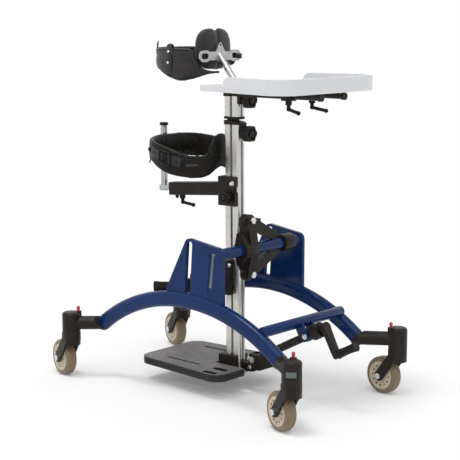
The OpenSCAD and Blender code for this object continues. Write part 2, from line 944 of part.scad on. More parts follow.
module tilt_bracket() {
    mast_front = -mast_d / 2;
    axis = tilt_on_mast;
    top = [mast_front - bracket_pad_t / 2, axis[1] + bracket_up];
    low = [mast_front - bracket_pad_t / 2, axis[1] - bracket_down];
    strut_y = axis[0] + strut_behind;
    far = (far_ring_in + far_ring_out) / 2;
    color(casting_black) on_mast() difference() {
        union() {
            translate([0, axis[0], axis[1]]) {
                rod_x(bracket_ring_r, [-near_ring_out, -near_ring_in]);
                rod_x(bracket_far_r, [far_ring_in, far_ring_out]);
            }
            slab_x([-bracket_leg_in, -near_ring_in - over]) for (end = [top, low])
                link(axis, bracket_ring_r - over, [strut_y, end[1]], bracket_leg_r);
            slab_x([-near_ring_out + over, -bracket_leg_in + over]) for (end = [top, low])
                link(axis, bracket_ring_r - over - over, [strut_y, (axis[1] + end[1]) / 2], strut_r);
            slab_y([strut_y - strut_t / 2, strut_y + strut_t / 2]) for (end = [top, low])
                link([-bracket_leg_in + strut_r, end[1]], bracket_pad_r, [far, axis[1]], strut_r);
            for (end = [top, low]) translate([-bracket_bolt_x, strut_y, end[1]])
                rod_y(bolt_head_r, [-bracket_pad_r, 0]);
            for (end = [top, low]) translate([0, 0, end[1] + sign(axis[1] - end[1]) * bracket_pad_shift])
                box([-bracket_pad_w, bracket_pad_w], [strut_y, mast_front],
                    [-bracket_leg_r + over, bracket_leg_r - over]);
        }
        translate([0, axis[0], axis[1]])
            rod_x(cross_d / 2 + run, [-near_ring_out - over, far_ring_out + over]);
        for (end = [top, low]) translate([-bracket_bolt_x, 0, end[1]])
            rod_y(bolt_r, [strut_y - mast_d, strut_y + strut_t]);
    }
}

module hex_head(y) {
    translate([0, y, 0]) rotate([90, 0, 0]) cylinder(r = bolt_head_r, h = bolt_head_t, $fn = 6);
}

module mast_bolts() {
    axis = tilt_on_mast;
    face = axis[0] + strut_behind - bracket_pad_r;
    pivot_out = eye_w / 2 + gap + cheek_t;
    color(steel) on_mast() {
        for (z = [axis[1] + bracket_up, axis[1] - bracket_down]) translate([-bracket_bolt_x, 0, z]) {
            rod_y(bolt_r, [face, face + strut_t + bolt_head_t]);
            hex_head(face);
        }
        translate([0, eye_on_mast[0], eye_on_mast[1]]) {
            rod_x(bolt_r, [-pivot_out, pivot_out]);
            for (s = [-1, 1]) rotate([0, s * 90, 0]) translate([0, 0, pivot_out])
                cylinder(r = bolt_head_r, h = bolt_head_t, $fn = 6);
        }
    }
}

module spindle_bracket() {
    face = -mast_d / 2;
    cheek_in = eye_w / 2 + gap;
    root = eye_on_mast[0] + eye_r + cheek_lead;
    tip = eye_on_mast[0] - cheek_reach;
    outline = [[root, cheek_low], [root, cheek_high], [tip, cheek_high], [tip, cheek_high - 2 * cheek_r]];
    color(casting_black) on_mast() difference() {
        union() {
            box([-neck_w / 2, neck_w / 2], [root - cheek_t, face], [cheek_low, neck_high]);
            box([-cheek_in - over, cheek_in + over], [root - cheek_t / 2, root],
                [cheek_low + over, cheek_high - over]);
            both_sides() slab_x([cheek_in, cheek_in + cheek_t])
                polygon(rounded(outline, [cheek_t, cheek_r, cheek_r - over, cheek_r - over]));
        }
        translate([0, eye_on_mast[0], eye_on_mast[1]]) rod_x(bolt_r, [-eye_w, eye_w]);
    }
}

// Spindle and crank, along the spindle from the lug pivot

module spindle_head() {
    color(casting_black) on_spindle() {
        difference() {
            union() {
                rod_z(head_r, [-head_back, head_front]);
                rod_z(block_r, [head_front, head_front + block_len]);
                rod_x(trunnion_boss_r, [-lug_gap / 2 + gap, lug_gap / 2 - gap]);
            }
            rod_z(screw_r + run, [-head_back - over, head_front + block_len + over]);
        }
        both_sides() {
            rod_x(lug_pin_r, [trunnion_boss_r, lug_gap / 2 + lug_t + gap]);
            rod_x(trunnion_head_r, [lug_gap / 2 + lug_t + gap, lug_gap / 2 + lug_t + gap + trunnion_head_t]);
        }
    }
}

crank_low = head_front + block_len + gap;
crank_arm_low = crank_low + crank_hub_len - crank_arm_t;
crank_arm_high = crank_low + crank_hub_len;
grip_end = crank_arm_high + gap + grip_len;

module crank_arm() {
    color(casting_black) on_spindle() {
        rod_z(screw_r, [-spindle_len + screw_end_gap, crank_low + over]);
        rod_z(crank_hub_r, [crank_low, crank_arm_high]);
        slab_z([crank_arm_low, crank_arm_high])
            link([0, 0], crank_hub_r - over, [0, -crank_reach], crank_end_r);
        translate([0, -crank_reach, 0]) {
            rod_z(grip_pin_r, [crank_arm_high - over, grip_end + gap]);
            rod_z(grip_cap_r, [grip_end + gap, grip_end + gap + grip_cap_t]);
        }
    }
}

module crank_grip() {
    arc_r = (pow(grip_len / 2, 2) + pow(grip_waist, 2)) / (2 * grip_waist);
    color(casting_black) on_spindle() translate([0, -crank_reach, crank_arm_high + gap]) rotate_extrude()
        difference() {
            translate([grip_pin_r + run, 0]) square([grip_r - grip_pin_r - run, grip_len]);
            translate([grip_r - grip_waist + arc_r, grip_len / 2]) circle(r = arc_r, $fn = 200);
        }
}

module spindle_tube() {
    color(casting_black) on_spindle() difference() {
        rod_z(spindle_tube_d / 2, [-spindle_len + eye_r, -tube_end_gap]);
        rod_z(spindle_bore_r, [-spindle_len, 0]);
        translate([0, 0, -spindle_len]) rod_x(eye_r, [-eye_w, eye_w]);
    }
}

module spindle_eye() {
    color([0.70, 0.55, 0.30]) on_spindle() translate([0, 0, -spindle_len]) difference() {
        union() {
            rod_x(eye_r, [-eye_w / 2, eye_w / 2]);
            rod_z(spindle_bore_r, [0, eye_neck]);
        }
        rod_x(bolt_r + run, [-eye_w, eye_w]);
    }
}

// Footplate

module footplate_plan() {
    front = foot_front_w / 2;
    rear = foot_rear_w / 2;
    rear_y = foot_front_y + foot_len;
    difference() {
        polygon(rounded([[-front, foot_front_y], [front, foot_front_y], [rear, rear_y], [-rear, rear_y]],
                        [foot_corner_r, foot_corner_r, foot_corner_r, foot_corner_r]));
        translate([-foot_notch_w / 2, foot_front_y - over]) square([foot_notch_w, foot_notch_d + over]);
        for (s = [-1, 1]) {
            slot([s * strap_x, strap_y - strap_len / 2], [s * strap_x, strap_y + strap_len / 2], strap_w);
            for (k = [-1, 1]) slot([s * toe_x + k * toe_step / 2, toe_y - (toe_slot_len - toe_slot_w) / 2],
                                   [s * toe_x + k * toe_step / 2, toe_y + (toe_slot_len - toe_slot_w) / 2],
                                   toe_slot_w);
        }
    }
}

module footplate() {
    color([0.30, 0.30, 0.31]) slab_z([foot_top - foot_t, foot_top]) footplate_plan();
}

module mast_clearance(z) {
    slab_z(z) round_rect(mast_w + 2 * gap, mast_d + 2 * gap, mast_corner);
}

module footplate_bracket() {
    under = foot_top - foot_t;
    color(casting_black) difference() {
        union() {
            on_mast() box([-foot_clamp_w / 2, foot_clamp_w / 2],
                [-foot_clamp_front, mast_d / 2 + foot_clamp_rear], [foot_clamp_low, foot_clamp_high]);
            for (s = [-1, 1]) box(
                [s * foot_arm_x - foot_arm_w / 2, s * foot_arm_x + foot_arm_w / 2],
                [mast_foot_y, mast_foot_y + foot_arm_len], [under - foot_arm_t, under]);
            box([-foot_arm_x, foot_arm_x], [mast_foot_y + mast_d / 2 + foot_arm_t, mast_foot_y + mast_d],
                [under - foot_arm_t, under]);
        }
        on_mast() mast_clearance([0, foot_clamp_high + over]);
    }
}

// Upper mast, tray and chest support

module upper_mast() {
    color(alloy) on_mast() slab_z([upper_low + upper_cap, upper_top]) mast_section();
    color(casting_black) on_mast() difference() {
        slab_z([upper_low, upper_low + upper_cap])
            round_rect(mast_w + collar_lip, mast_d + collar_lip, mast_corner + collar_lip / 2);
        slab_z([upper_low - over, upper_low + upper_cap + over]) mast_bore(0);
    }
}

module inner_slide() {
    color([0.35, 0.35, 0.36]) on_mast()
        slab_z([upper_low - slide_len, upper_low + slide_lock]) mast_bore(gap);
}

rail_z = tray_z - rail_drop;
tray_knob_z = upper_low + tray_knob_up;

module tray_rails() {
    color(casting_black) {
        for (s = [-1, 1]) translate([s * rail_x, 0, rail_z]) {
            rod_y(rail_r, [rail_front_y + rail_cap_l, rail_rear_y]);
            rod_y(rail_cap_r, [rail_front_y, rail_front_y + rail_cap_l]);
        }
        on_mast() difference() {
            box([-cross_boss_w / 2, cross_boss_w / 2], [-mast_d / 2 - tray_boss_t, -mast_d / 2],
                [tray_knob_z - tray_boss_down, upper_top]);
            translate([0, 0, tray_knob_z]) knob_boss_bore(0);
        }
        difference() {
            box([-cross_w / 2, cross_w / 2],
                [from_mast([-mast_d / 2 - tray_boss_t, upper_top])[0],
                 from_mast([-mast_d / 2 - tray_boss_t, upper_top])[0] + cross_t],
                [rail_z - rail_r, rail_z + rail_r]);
            on_mast() mast_clearance([mast_low, upper_top + upper_len]);
        }
    }
}

module tray_knob() {
    on_mast() translate([0, -mast_d / 2 - tray_boss_t - gap, tray_knob_z]) star_knob(knob_d, knob_t);
}

tray_front_y = tray_rear_y - tray_len;

function tray_corners(inset) = [
    [-tray_front_w / 2 + inset, tray_front_y + inset], [tray_front_w / 2 - inset, tray_front_y + inset],
    [tray_rear_w / 2 - inset, tray_rear_y - inset], [-tray_rear_w / 2 + inset, tray_rear_y - inset]
];

module tray_plan(inset) {
    polygon(rounded(tray_corners(inset), [tray_corner_r, tray_corner_r, tray_tip_r, tray_tip_r]));
}

module belly_cut() {
    translate([0, tray_rear_y]) round_rect(belly_w, 2 * belly_front, belly_r);
}

// What is cut from the rim behind its rounded rear ends
module rim_end_cut() {
    end_y = tray_rear_y - rim_start;
    top = tray_z + tray_t + rim_h;
    steps = 6;
    slab_x([-tray_front_w, tray_front_w]) polygon([
        [tray_rear_y + over, tray_z],
        [end_y, tray_z],
        for (k = [0 : steps])
            [end_y - rim_end_r, top - rim_end_r] + rim_end_r * [cos(90 * k / steps), sin(90 * k / steps)],
        [end_y - rim_end_r, top + over],
        [tray_rear_y + over, top + over]
    ]);
}

module tray_board() {
    color(tray_grey) {
        slab_z([tray_z, tray_z + tray_t]) difference() {
            tray_plan(0);
            belly_cut();
        }
        difference() {
            slab_z([tray_z + tray_t - over, tray_z + tray_t + rim_h]) difference() {
                tray_plan(0);
                tray_plan(rim_t);
            }
            rim_end_cut();
        }
    }
}

module tray_clamps() {
    color(casting_black) for (s = [-1, 1]) difference() {
        box([s * rail_x - clamp_w / 2, s * rail_x + clamp_w / 2],
            [clamp_y - clamp_l / 2, clamp_y + clamp_l / 2],
            [rail_z - rail_r - clamp_low, tray_z]);
        translate([s * rail_x, 0, rail_z]) rod_y(rail_r + run, [clamp_y - clamp_l, clamp_y + clamp_l]);
        translate([s * rail_x, clamp_y, rail_z - rail_r - clamp_low])
            rod_z(lever_stem_r + run, [-over, clamp_low + over]);
    }
}

// Clamp lever under a seat at the origin, its handle towards -Y
module clamp_lever(stem_in) {
    slope = atan2(lever_drop, lever_reach);
    color(casting_black) {
        rod_z(lever_stem_r, [-lever_fall, stem_in]);
        rod_z(lever_hub_r, [-lever_seat - lever_hub_h, -lever_seat]);
        translate([0, 0, -lever_fall]) {
            sphere(r = lever_tip_r);
            rotate([slope, 0, 0]) {
                rod_y(lever_r, [-lever_reach, 0]);
                translate([0, -lever_reach, 0]) sphere(r = lever_tip_r);
            }
        }
    }
}

module right_tray_lever() {
    translate([-rail_x, clamp_y, rail_z - rail_r - clamp_low]) rotate([0, 0, -lever_splay])
        clamp_lever(lever_stem_in);
}

module left_tray_lever() {
    translate([rail_x, clamp_y, rail_z - rail_r - clamp_low]) rotate([0, 0, lever_splay])
        clamp_lever(lever_stem_in);
}

module chest_post() {
    bent_y = post_y + post_bend_r * (1 - cos(post_bend));
    bent_up = post_bend_r * sin(post_bend);
    bend_z = chest_z - post_hub_down - bent_up - (chest_plate_y - bent_y) / tan(post_bend);
    color(steel) on_mast() {
        slab_z([upper_top - post_tongue, upper_top + over]) mast_bore(gap);
        translate([0, post_y, 0]) rod_z(post_foot_r, [upper_top + gap, upper_top + post_foot_h]);
        translate([0, post_y, 0]) rod_z(post_r + post_step, [upper_top + over, bend_z]);
        translate([0, post_y + post_bend_r, bend_z]) rotate([90, 0, 90]) rotate([0, 0, 180 - post_bend])
            rotate_extrude(angle = post_bend + post_lap) translate([post_bend_r, 0]) circle(r = post_r);
        difference() {
            translate([0, bent_y, bend_z + bent_up]) rotate([-post_bend, 0, 0])
                rod_z(post_r - post_step, [-over, 2 * chest_plate_y]);
            box([-mast_d, mast_d], [chest_plate_y, 3 * chest_plate_y], [bend_z, bend_z + 4 * chest_plate_y]);
        }
    }
}

module chest_eye(s, r) {
    slot([s * chest_eye_x - chest_eye_run, chest_z], [s * chest_eye_x + chest_eye_run, chest_z], 2 * r);
}

module chest_plate() {
    color(alloy) on_mast() slab_y([chest_plate_y, chest_plate_y + chest_plate_t]) difference() {
        union() {
            for (s = [-1, 1]) chest_eye(s, chest_eye_r);
            translate([-chest_eye_x, chest_z - chest_bar_h / 2]) square([2 * chest_eye_x, chest_bar_h]);
            translate([0, chest_z]) circle(r = chest_hub_r + chest_plate_t);
            polygon([[-chest_tip_w, chest_z], [chest_tip_w, chest_z],
                     [chest_tip_hole_r, chest_z + chest_tip_up],
                     [-chest_tip_hole_r, chest_z + chest_tip_up]]);
        }
        for (s = [-1, 1]) chest_eye(s, chest_eye_slot / 2);
        translate([0, chest_z + chest_tip_up - 2 * chest_tip_hole_r])
            circle(r = chest_tip_hole_r, $fn = fine);
    }
}

// Chest pad: a crowned cushion with two lobes at the top and a sewn channel between them
pad_rings = 18;
pad_sides = 28;
pad_lobe_share = 0.12;
function pad_edge(a) = let (up = sin(a), lobe = up > 0 ? pad_lobe_share * abs(sin(2 * a)) : 0)
    [pad_w / 2 * swell(cos(a)), pad_h / 2 * (swell(up) + lobe)];
function pad_dip(x) = pad_split * exp(-pow(x / pad_split_w, 2));
function pad_depth(x) = pad_wrap * pow(2 * x / pad_w, 2);
function pad_ring(k) = let (
        a = 180 * k / pad_rings,
        r = sin(a),
        crown = pad_t / 2 * (1 - swell(cos(a)))
    ) [
    for (j = [0 : pad_sides - 1])
        let (edge = pad_edge(360 * j / pad_sides) * pow(r, section_round_share))
        [edge[0], chest_plate_y + chest_plate_t + pad_clear + crown + pad_depth(edge[0])
            - (k > pad_rings / 2 ? pad_dip(edge[0]) * r : 0), chest_z + pad_mid + edge[1]]
];

module chest_pad() {
    color(pad_black) on_mast() loft([for (k = [1 : pad_rings - 1]) pad_ring(k)], false);
}

// Plan points of a band round the body: an oval with flattened sides
band_flat_share = 0.8;
function oval(a, w, d) = let (c = cos(a), s = sin(a))
    [w / 2 * sign(s) * pow(abs(s), band_flat_share), -d / 2 * sign(c) * pow(abs(c), band_flat_share)];
function oval_way(a, w, d) = unit(oval(a + 1, w, d) - oval(a - 1, w, d));

band_sides = 12;
band_steps = 48;
chest_mid_y = chest_front_y + chest_band_d / 2;

function chest_ring(a) = let (
        w = chest_band_w + chest_band_t,
        d = chest_band_d + chest_band_t,
        right = a > 180,
        turn = min(a, 360 - a),
        low = chest_z - chest_low_down
            + chest_lift * lookup(turn, right ? chest_right_low_shares : chest_left_low_shares),
        high = chest_z - chest_high_down
            + chest_rise * lookup(turn, right ? chest_right_high_shares : chest_left_high_shares)
    )
    padded_ring(oval(a, w, d) + [0, chest_mid_y], oval_way(a, w, d), chest_band_t, low, high, band_sides);

// Flat strap section between the left chest plate eye and the band's left end
function strap_ring(share) = let (
        eye = from_mast([chest_plate_y + chest_plate_t, chest_z]),
        from = [pad_w / 2 + pad_clear + chest_strap_t, eye[0] + pad_clear],
        to = oval(chest_open, chest_band_w + chest_band_t, chest_band_d + chest_band_t) + [0, chest_mid_y],
        at = from * (1 - share) + to * share,
        way = unit(to - from)
    )
    padded_ring(at, way, chest_strap_t, eye[1] - chest_strap_h / 2, eye[1] + chest_strap_h / 2, band_sides);

strap_mid_share = 0.5;

module chest_band() {
    span = 360 - chest_open - chest_right_open;
    color(pad_black) loft(concat(
        [strap_ring(0), strap_ring(strap_mid_share)],
        [for (i = [0 : band_steps]) chest_ring(chest_open + i * span / band_steps)]
    ), false);
}

// Hip support

// Sliding keys that hold a bracket in the mast's side grooves
module groove_keys(z) {
    both_sides()
        box([mast_w / 2 - groove_lip, mast_w / 2 + over], [-groove_w / 2 + gap, groove_w / 2 - gap], z);
}

module on_hip_arm() {
    on_mast() translate([0, 0, hip_z + hip_arm_up]) rotate([-hip_slope, 0, 0]) children();
}

module hip_arm() {
    rear = mast_d / 2 + hip_clamp_rear;
    clamp_z = [hip_z - hip_clamp_down, hip_z + hip_clamp_up];
    color(casting_black) {
        difference() {
            union() {
                on_mast() difference() {
                    union() {
                        box([-hip_clamp_w / 2, 0], [-mast_d / 2 + hip_clamp_open, rear], clamp_z);
                        box([-over, hip_clamp_w / 2 - over], [-groove_w, rear], clamp_z);
                    }
                    mast_clearance([clamp_z[0] - over, clamp_z[1] + over]);
                    box([-hip_clamp_w, 0], [-mast_d, -mast_d / 2 + hip_clamp_open + hip_notch_d],
                        [hip_z - hip_notch_down, hip_z + hip_notch_up]);
                }
                on_hip_arm() box([-hip_arm_w / 2, hip_arm_w / 2], [rear - 2 * over, mast_d / 2 + hip_reach],
                    [-hip_arm_h / 2, hip_arm_h / 2]);
            }
            on_hip_arm() {
                box([-hip_arm_w / 2 + hip_arm_wall, hip_arm_w / 2 - hip_arm_wall],
                    [rear, mast_d / 2 + hip_reach + over],
                    [-hip_arm_h / 2 + hip_arm_wall, hip_arm_h / 2 - hip_arm_wall]);
                translate([0, mast_d / 2 + hip_reach - hip_lever_in, -hip_arm_h / 2])
                    rod_z(lever_stem_r + run, [-over, hip_arm_wall + over]);
            }
            on_mast() translate([0, 0, hip_z - hip_knob_down]) rotate([0, 0, -90])
                rod_y(knob_stem_r + run, [-mast_d, -mast_w / 2]);
        }
        on_mast() groove_keys(clamp_z);
    }
}

module hip_knob() {
    on_mast() translate([-hip_clamp_w / 2 - gap, 0, hip_z - hip_knob_down]) rotate([0, 0, -90])
        star_knob(small_knob_d, small_knob_t);
}

module hip_lever() {
    on_hip_arm() translate([0, mast_d / 2 + hip_reach - hip_lever_in, -hip_arm_h / 2])
        clamp_lever(hip_arm_wall);
}

module at_hip_post() {
    on_hip_arm() translate([0, hip_post_out, 0]) rotate([hip_slope + mast_lean, 0, 0]) children();
}

module hip_post() {
    slip = hip_arm_wall + gap;
    color(steel) {
        on_hip_arm() {
            box([-hip_arm_w / 2 + slip, hip_arm_w / 2 - slip],
                [hip_post_out - hip_rod_in, mast_d / 2 + hip_reach - gap],
                [-hip_arm_h / 2 + slip, hip_arm_h / 2 - slip]);
            box([-hip_neck_w / 2, hip_neck_w / 2], [hip_post_out - hip_post_gap - over, hip_post_out],
                [-hip_post_down + over, hip_foot_up - over]);
        }
        at_hip_post() {
            rod_z(hip_foot_r, [-hip_post_down, hip_foot_up]);
            rod_z(hip_post_r, [0, hip_post_up]);
            rod_z(hip_cap_r, [hip_post_up, hip_post_up + hip_cap_t]);
            box([-hip_grip_w / 2, hip_grip_w / 2], [-hip_grip_front, hip_grip_rear],
                [hip_grip_low, hip_grip_high]);
        }
    }
}

hip_steps = 48;
hip_rear_y = from_mast(hip_post_foot)[0] - hip_grip_front - hip_band_clear;
hip_mid_y = hip_rear_y - hip_band_d / 2 - hip_band_t;

module hip_band() {
    w = hip_band_w + hip_band_t;
    d = hip_band_d + hip_band_t;
    rings = [
        for (i = [0 : hip_steps - 1])
            let (
                a = i * 360 / hip_steps,
                turn = min(a, 360 - a),
                at = oval(a, w, d) + [0, hip_mid_y],
                low = hip_z + hip_low_up + hip_lift * lookup(turn, hip_lift_shares),
                high = hip_z + hip_high_up + hip_rise * lookup(turn, hip_rise_shares)
                    + hip_pommel * exp(-pow(turn / hip_pommel_spread, hip_pommel_power))
            )
            padded_ring(at, oval_way(a, w, d), hip_band_t, low, high, band_sides)
    ];
    color(pad_black) loft(rings, true);
}

// Knee support

module knee_bracket() {
    rear = mast_d / 2 + knee_rear;
    bar_z0 = knee_low + knee_bar_up;
    color(casting_black) on_mast() {
        difference() {
            slab_z([knee_low, knee_high]) translate([-knee_cheek_w / 2, -knee_front])
                square([knee_cheek_w, rear + knee_front]);
            mast_clearance([knee_low - over, knee_high + over]);
        }
        box([-knee_bar_w / 2, knee_bar_w / 2], [rear, rear + knee_bar_t],
            [bar_z0 - knee_bar_h / 2, bar_z0 + knee_bar_h / 2]);
        for (s = [-1, 1]) translate([s * knee_x, 0, bar_z0])
            rod_y(knee_arm_r, [rear + knee_bar_t, rear + knee_bar_t + knee_arm_len]);
    }
}

knee_steps = 24;
knee_bar_place = from_mast([mast_d / 2 + knee_rear + knee_bar_t + knee_arm_len, knee_low + knee_bar_up]);

module knee_pads() {
    mid_y = knee_bar_place[0] + pad_clear + knee_cup_t / 2 + knee_cup_d / 2;
    color(pad_black) both_sides() translate([knee_x, mid_y, 0]) loft([
        for (i = [0 : knee_steps])
            let (
                a = -180 + knee_open + 90 + i * (180 - 2 * knee_open) / knee_steps,
                back = pow(abs(sin(a)), 2),
                half = knee_cup_half - knee_cup_taper * back
            )
            padded_ring(oval(a, knee_cup_w, knee_cup_d), oval_way(a, knee_cup_w, knee_cup_d), knee_cup_t,
                        knee_bar_place[1] - half, knee_bar_place[1] + half, band_sides)
    ], false);
}

right_arch_tube();
left_arch_tube();
right_side_plate();
left_side_plate();
upper_cross_tube();
lower_cross_bar();
caster_arms();
caster_bearings();
front_right_fork();
front_left_fork();
rear_right_fork();
rear_left_fork();
front_right_axle();
front_left_axle();
rear_right_axle();
rear_left_axle();
front_right_tyre();
front_left_tyre();
rear_right_tyre();
rear_left_tyre();
front_right_hub();
front_left_hub();
rear_right_hub();
rear_left_hub();
front_right_pin();
front_left_pin();
rear_right_pin();
rear_left_pin();
mast_profile();
mast_collar();
tilt_bracket();
mast_bolts();
spindle_bracket();
spindle_head();
crank_arm();
crank_grip();
spindle_tube();
spindle_eye();
footplate();
footplate_bracket();
upper_mast();
inner_slide();
collar_knob();
tray_knob();
tray_board();
tray_clamps();
tray_rails();
right_tray_lever();
left_tray_lever();
chest_post();
chest_plate();
chest_pad();
chest_band();
hip_arm();
hip_knob();
hip_post();
hip_band();
hip_lever();
knee_bracket();
knee_pads();
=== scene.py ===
"""Looks of the standing frame: finishes, padding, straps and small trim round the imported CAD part.

Metres, +Z up, the user faces -Y and their left is +X, as in the CAD part. Names ending in _mm, the named
sizes of padding and trim, and turned profiles are in millimetres, but names ending in _M are in metres.
Turns are in degrees.
"""

import json
import math

import bmesh
import bpy
import numpy as np
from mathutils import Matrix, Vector
from mathutils.bvhtree import BVHTree

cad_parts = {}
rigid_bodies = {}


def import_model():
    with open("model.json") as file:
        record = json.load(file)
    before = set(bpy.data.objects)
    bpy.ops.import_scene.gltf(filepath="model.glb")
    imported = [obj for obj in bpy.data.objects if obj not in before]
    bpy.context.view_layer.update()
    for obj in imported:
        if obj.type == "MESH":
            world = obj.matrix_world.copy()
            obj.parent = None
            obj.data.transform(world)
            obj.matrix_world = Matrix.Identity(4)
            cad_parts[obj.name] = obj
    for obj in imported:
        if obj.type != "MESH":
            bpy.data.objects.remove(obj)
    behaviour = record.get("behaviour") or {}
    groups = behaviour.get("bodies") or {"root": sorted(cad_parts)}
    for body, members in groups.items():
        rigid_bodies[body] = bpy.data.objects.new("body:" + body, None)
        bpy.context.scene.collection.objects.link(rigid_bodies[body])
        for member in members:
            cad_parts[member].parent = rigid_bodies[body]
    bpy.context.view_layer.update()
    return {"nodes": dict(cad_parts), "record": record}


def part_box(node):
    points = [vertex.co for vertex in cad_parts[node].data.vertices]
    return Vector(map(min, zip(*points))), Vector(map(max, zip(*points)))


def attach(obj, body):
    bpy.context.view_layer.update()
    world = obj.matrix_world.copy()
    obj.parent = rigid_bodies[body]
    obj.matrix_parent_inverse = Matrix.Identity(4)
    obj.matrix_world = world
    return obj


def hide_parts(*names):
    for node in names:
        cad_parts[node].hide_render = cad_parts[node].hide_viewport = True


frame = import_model()
nodes = frame["nodes"]
MM = 0.001
UP = Vector((0, 0, 1))
SAME_POINT = 0.01


# Finishes

class Shader:
    """A material with one Principled shader and the texture nodes that feed it."""

    EDGE_RAYS = 4
    # How the painted edge highlight fades in from the edges
    WORN_FROM, WORN_TO = 0.98, 0.7

    def __init__(self, name, color, roughness, metallic=0.0, **sockets):
        self.name = name
        self.material = bpy.data.materials.new(name)
        self.material.use_nodes = True
        self.tree = self.material.node_tree
        self.bsdf = self.tree.nodes["Principled BSDF"]
        self.color = color
        self.bsdf.inputs["Base Color"].default_value = (*color, 1)
        self.bsdf.inputs["Roughness"].default_value = roughness
        self.bsdf.inputs["Metallic"].default_value = metallic
        for socket, value in sockets.items():
            self.bsdf.inputs[socket.replace("_", " ")].default_value = value
        self.where = self.node("ShaderNodeTexCoord").outputs
        self.last_bump = None

    def node(self, kind, **settings):
        made = self.tree.nodes.new(kind)
        for key, value in settings.items():
            setattr(made, key, value)
        return made

    def link(self, source, target):
        self.tree.links.new(source, target)

    def stretched(self, stretch):
        mapping = self.node("ShaderNodeMapping")
        mapping.inputs["Scale"].default_value = stretch
        self.link(self.where["Object"], mapping.inputs["Vector"])
        return mapping.outputs["Vector"]

    def noise(self, per_metre, detail=3.0, stretch=(1, 1, 1)):
        made = self.node("ShaderNodeTexNoise")
        made.inputs["Scale"].default_value = per_metre
        made.inputs["Detail"].default_value = detail
        self.link(self.stretched(stretch), made.inputs["Vector"])
        return made.outputs["Fac"]

    def cells(self, per_metre, stretch=(1, 1, 1)):
        made = self.node("ShaderNodeTexVoronoi")
        made.inputs["Scale"].default_value = per_metre
        self.link(self.stretched(stretch), made.inputs["Vector"])
        return made.outputs["Distance"]

    def waves(self, per_metre, direction, warp=0.0):
        made = self.node("ShaderNodeTexWave", bands_direction=direction)
        made.inputs["Scale"].default_value = per_metre
        made.inputs["Distortion"].default_value = warp
        self.link(self.where["Object"], made.inputs["Vector"])
        return made.outputs["Fac"]

    def upward(self):
        """1 where the surface faces up in the piece's own frame, 0 on its sides."""
        split = self.node("ShaderNodeSeparateXYZ")
        self.link(self.where["Normal"], split.inputs[0])
        return split.outputs["Z"]

    def corners(self, radius_mm):
        """Near 1 on open surface, less along edges."""
        rounded = self.node("ShaderNodeBevel", samples=self.EDGE_RAYS)
        rounded.inputs["Radius"].default_value = radius_mm * MM
        compare = self.node("ShaderNodeVectorMath", operation="DOT_PRODUCT")
        self.link(rounded.outputs["Normal"], compare.inputs[0])
        self.link(self.node("ShaderNodeNewGeometry").outputs["Normal"], compare.inputs[1])
        return compare.outputs["Value"]

    def ramp(self, source, low, high, start=0.3, end=0.7):
        made = self.node("ShaderNodeMapRange")
        made.inputs["From Min"].default_value = start
        made.inputs["From Max"].default_value = end
        made.inputs["To Min"].default_value = low
        made.inputs["To Max"].default_value = high
        self.link(source, made.inputs["Value"])
        return made.outputs["Result"]

    def tint(self, source, other, start=0.3, end=0.7):
        """The base colour drifts towards another colour as the texture goes from start to end."""
        mix = self.node("ShaderNodeMix", data_type="RGBA")
        base = self.bsdf.inputs["Base Color"]
        first, second, result = mix.inputs[6], mix.inputs[7], mix.outputs[2]
        if base.is_linked:
            self.link(base.links[0].from_socket, first)
        else:
            first.default_value = (*self.color, 1)
        second.default_value = (*other, 1)
        self.link(self.ramp(source, 0.0, 1.0, start, end), mix.inputs[0])
        self.link(result, base)
        return self

    def gloss(self, source, low, high):
        self.link(self.ramp(source, low, high), self.bsdf.inputs["Roughness"])
        return self

    def bump(self, source, depth_mm, strength=1.0):
        made = self.node("ShaderNodeBump")
        made.inputs["Strength"].default_value = strength
        made.inputs["Distance"].default_value = depth_mm * MM
        self.link(source, made.inputs["Height"])
        if self.last_bump:
            self.link(self.last_bump, made.inputs["Normal"])
        self.last_bump = made.outputs["Normal"]
        self.link(self.last_bump, self.bsdf.inputs["Normal"])
        return self

    def edge_highlight(self, other, radius_mm=1.0):
        """A lighter colour along the edges: a painted highlight where they catch the light."""
        return self.tint(self.corners(radius_mm), other, self.WORN_FROM, self.WORN_TO)


GLOSS_FINER, GRAIN_DETAIL = 3, 2


def finish(name, color, other, patch, rough, grain, depth_mm, metallic=0.0, **sockets):
    """A finish whose colour drifts in patches, with uneven gloss and a fine grain.

    patch and grain are noise scales per metre, rough is the range of roughness, depth_mm the grain's depth.
    """
    s = Shader(name, color, rough[0], metallic, **sockets)
    s.tint(s.noise(patch), other)
    s.gloss(s.noise(GLOSS_FINER * patch), *rough)
    return s.bump(s.noise(grain, GRAIN_DETAIL), depth_mm)


blue = finish("blue_paint", (0.0021, 0.0200, 0.092), (0.0031, 0.0245, 0.113), 14, (0.24, 0.36), 420, 0.05,
              Specular_IOR_Level=0.07, Coat_Weight=0.3, Coat_Roughness=0.12)
# Darker speckles, and a brighter blue along the edges as a painted highlight
blue.tint(blue.noise(900, GRAIN_DETAIL), (0.0018, 0.017, 0.084), 0.55, 0.85).edge_highlight((0.016, 0.058, 0.24))

black_metal = finish("black_metal", (0.0105, 0.0072, 0.0054), (0.0165, 0.0120, 0.0092), 30, (0.34, 0.5),
                     1500, 0.05, Specular_IOR_Level=0.22)
# A painted highlight along the edges
black_metal.edge_highlight((0.055, 0.052, 0.049), 1.2)

black_plastic = finish("black_plastic", (0.0080, 0.0063, 0.0052), (0.0126, 0.0104, 0.0088), 40, (0.38, 0.55),
                       1800, 0.03, Specular_IOR_Level=0.2)
# A fine cell grain, and a painted highlight along the edges
black_plastic.bump(black_plastic.cells(1400), 0.05, 0.7).edge_highlight((0.045, 0.042, 0.040))

silver = finish("silver_alloy", (0.56, 0.55, 0.525), (0.66, 0.65, 0.625), 25, (0.26, 0.4), 600, 0.01, 1.0)
silver.tint(silver.noise(900, GRAIN_DETAIL, (1, 1, 0.01)), (0.42, 0.41, 0.39), 0.55, 0.85)
silver.bump(silver.noise(1600, GRAIN_DETAIL, (1, 1, 0.008)), 0.015)

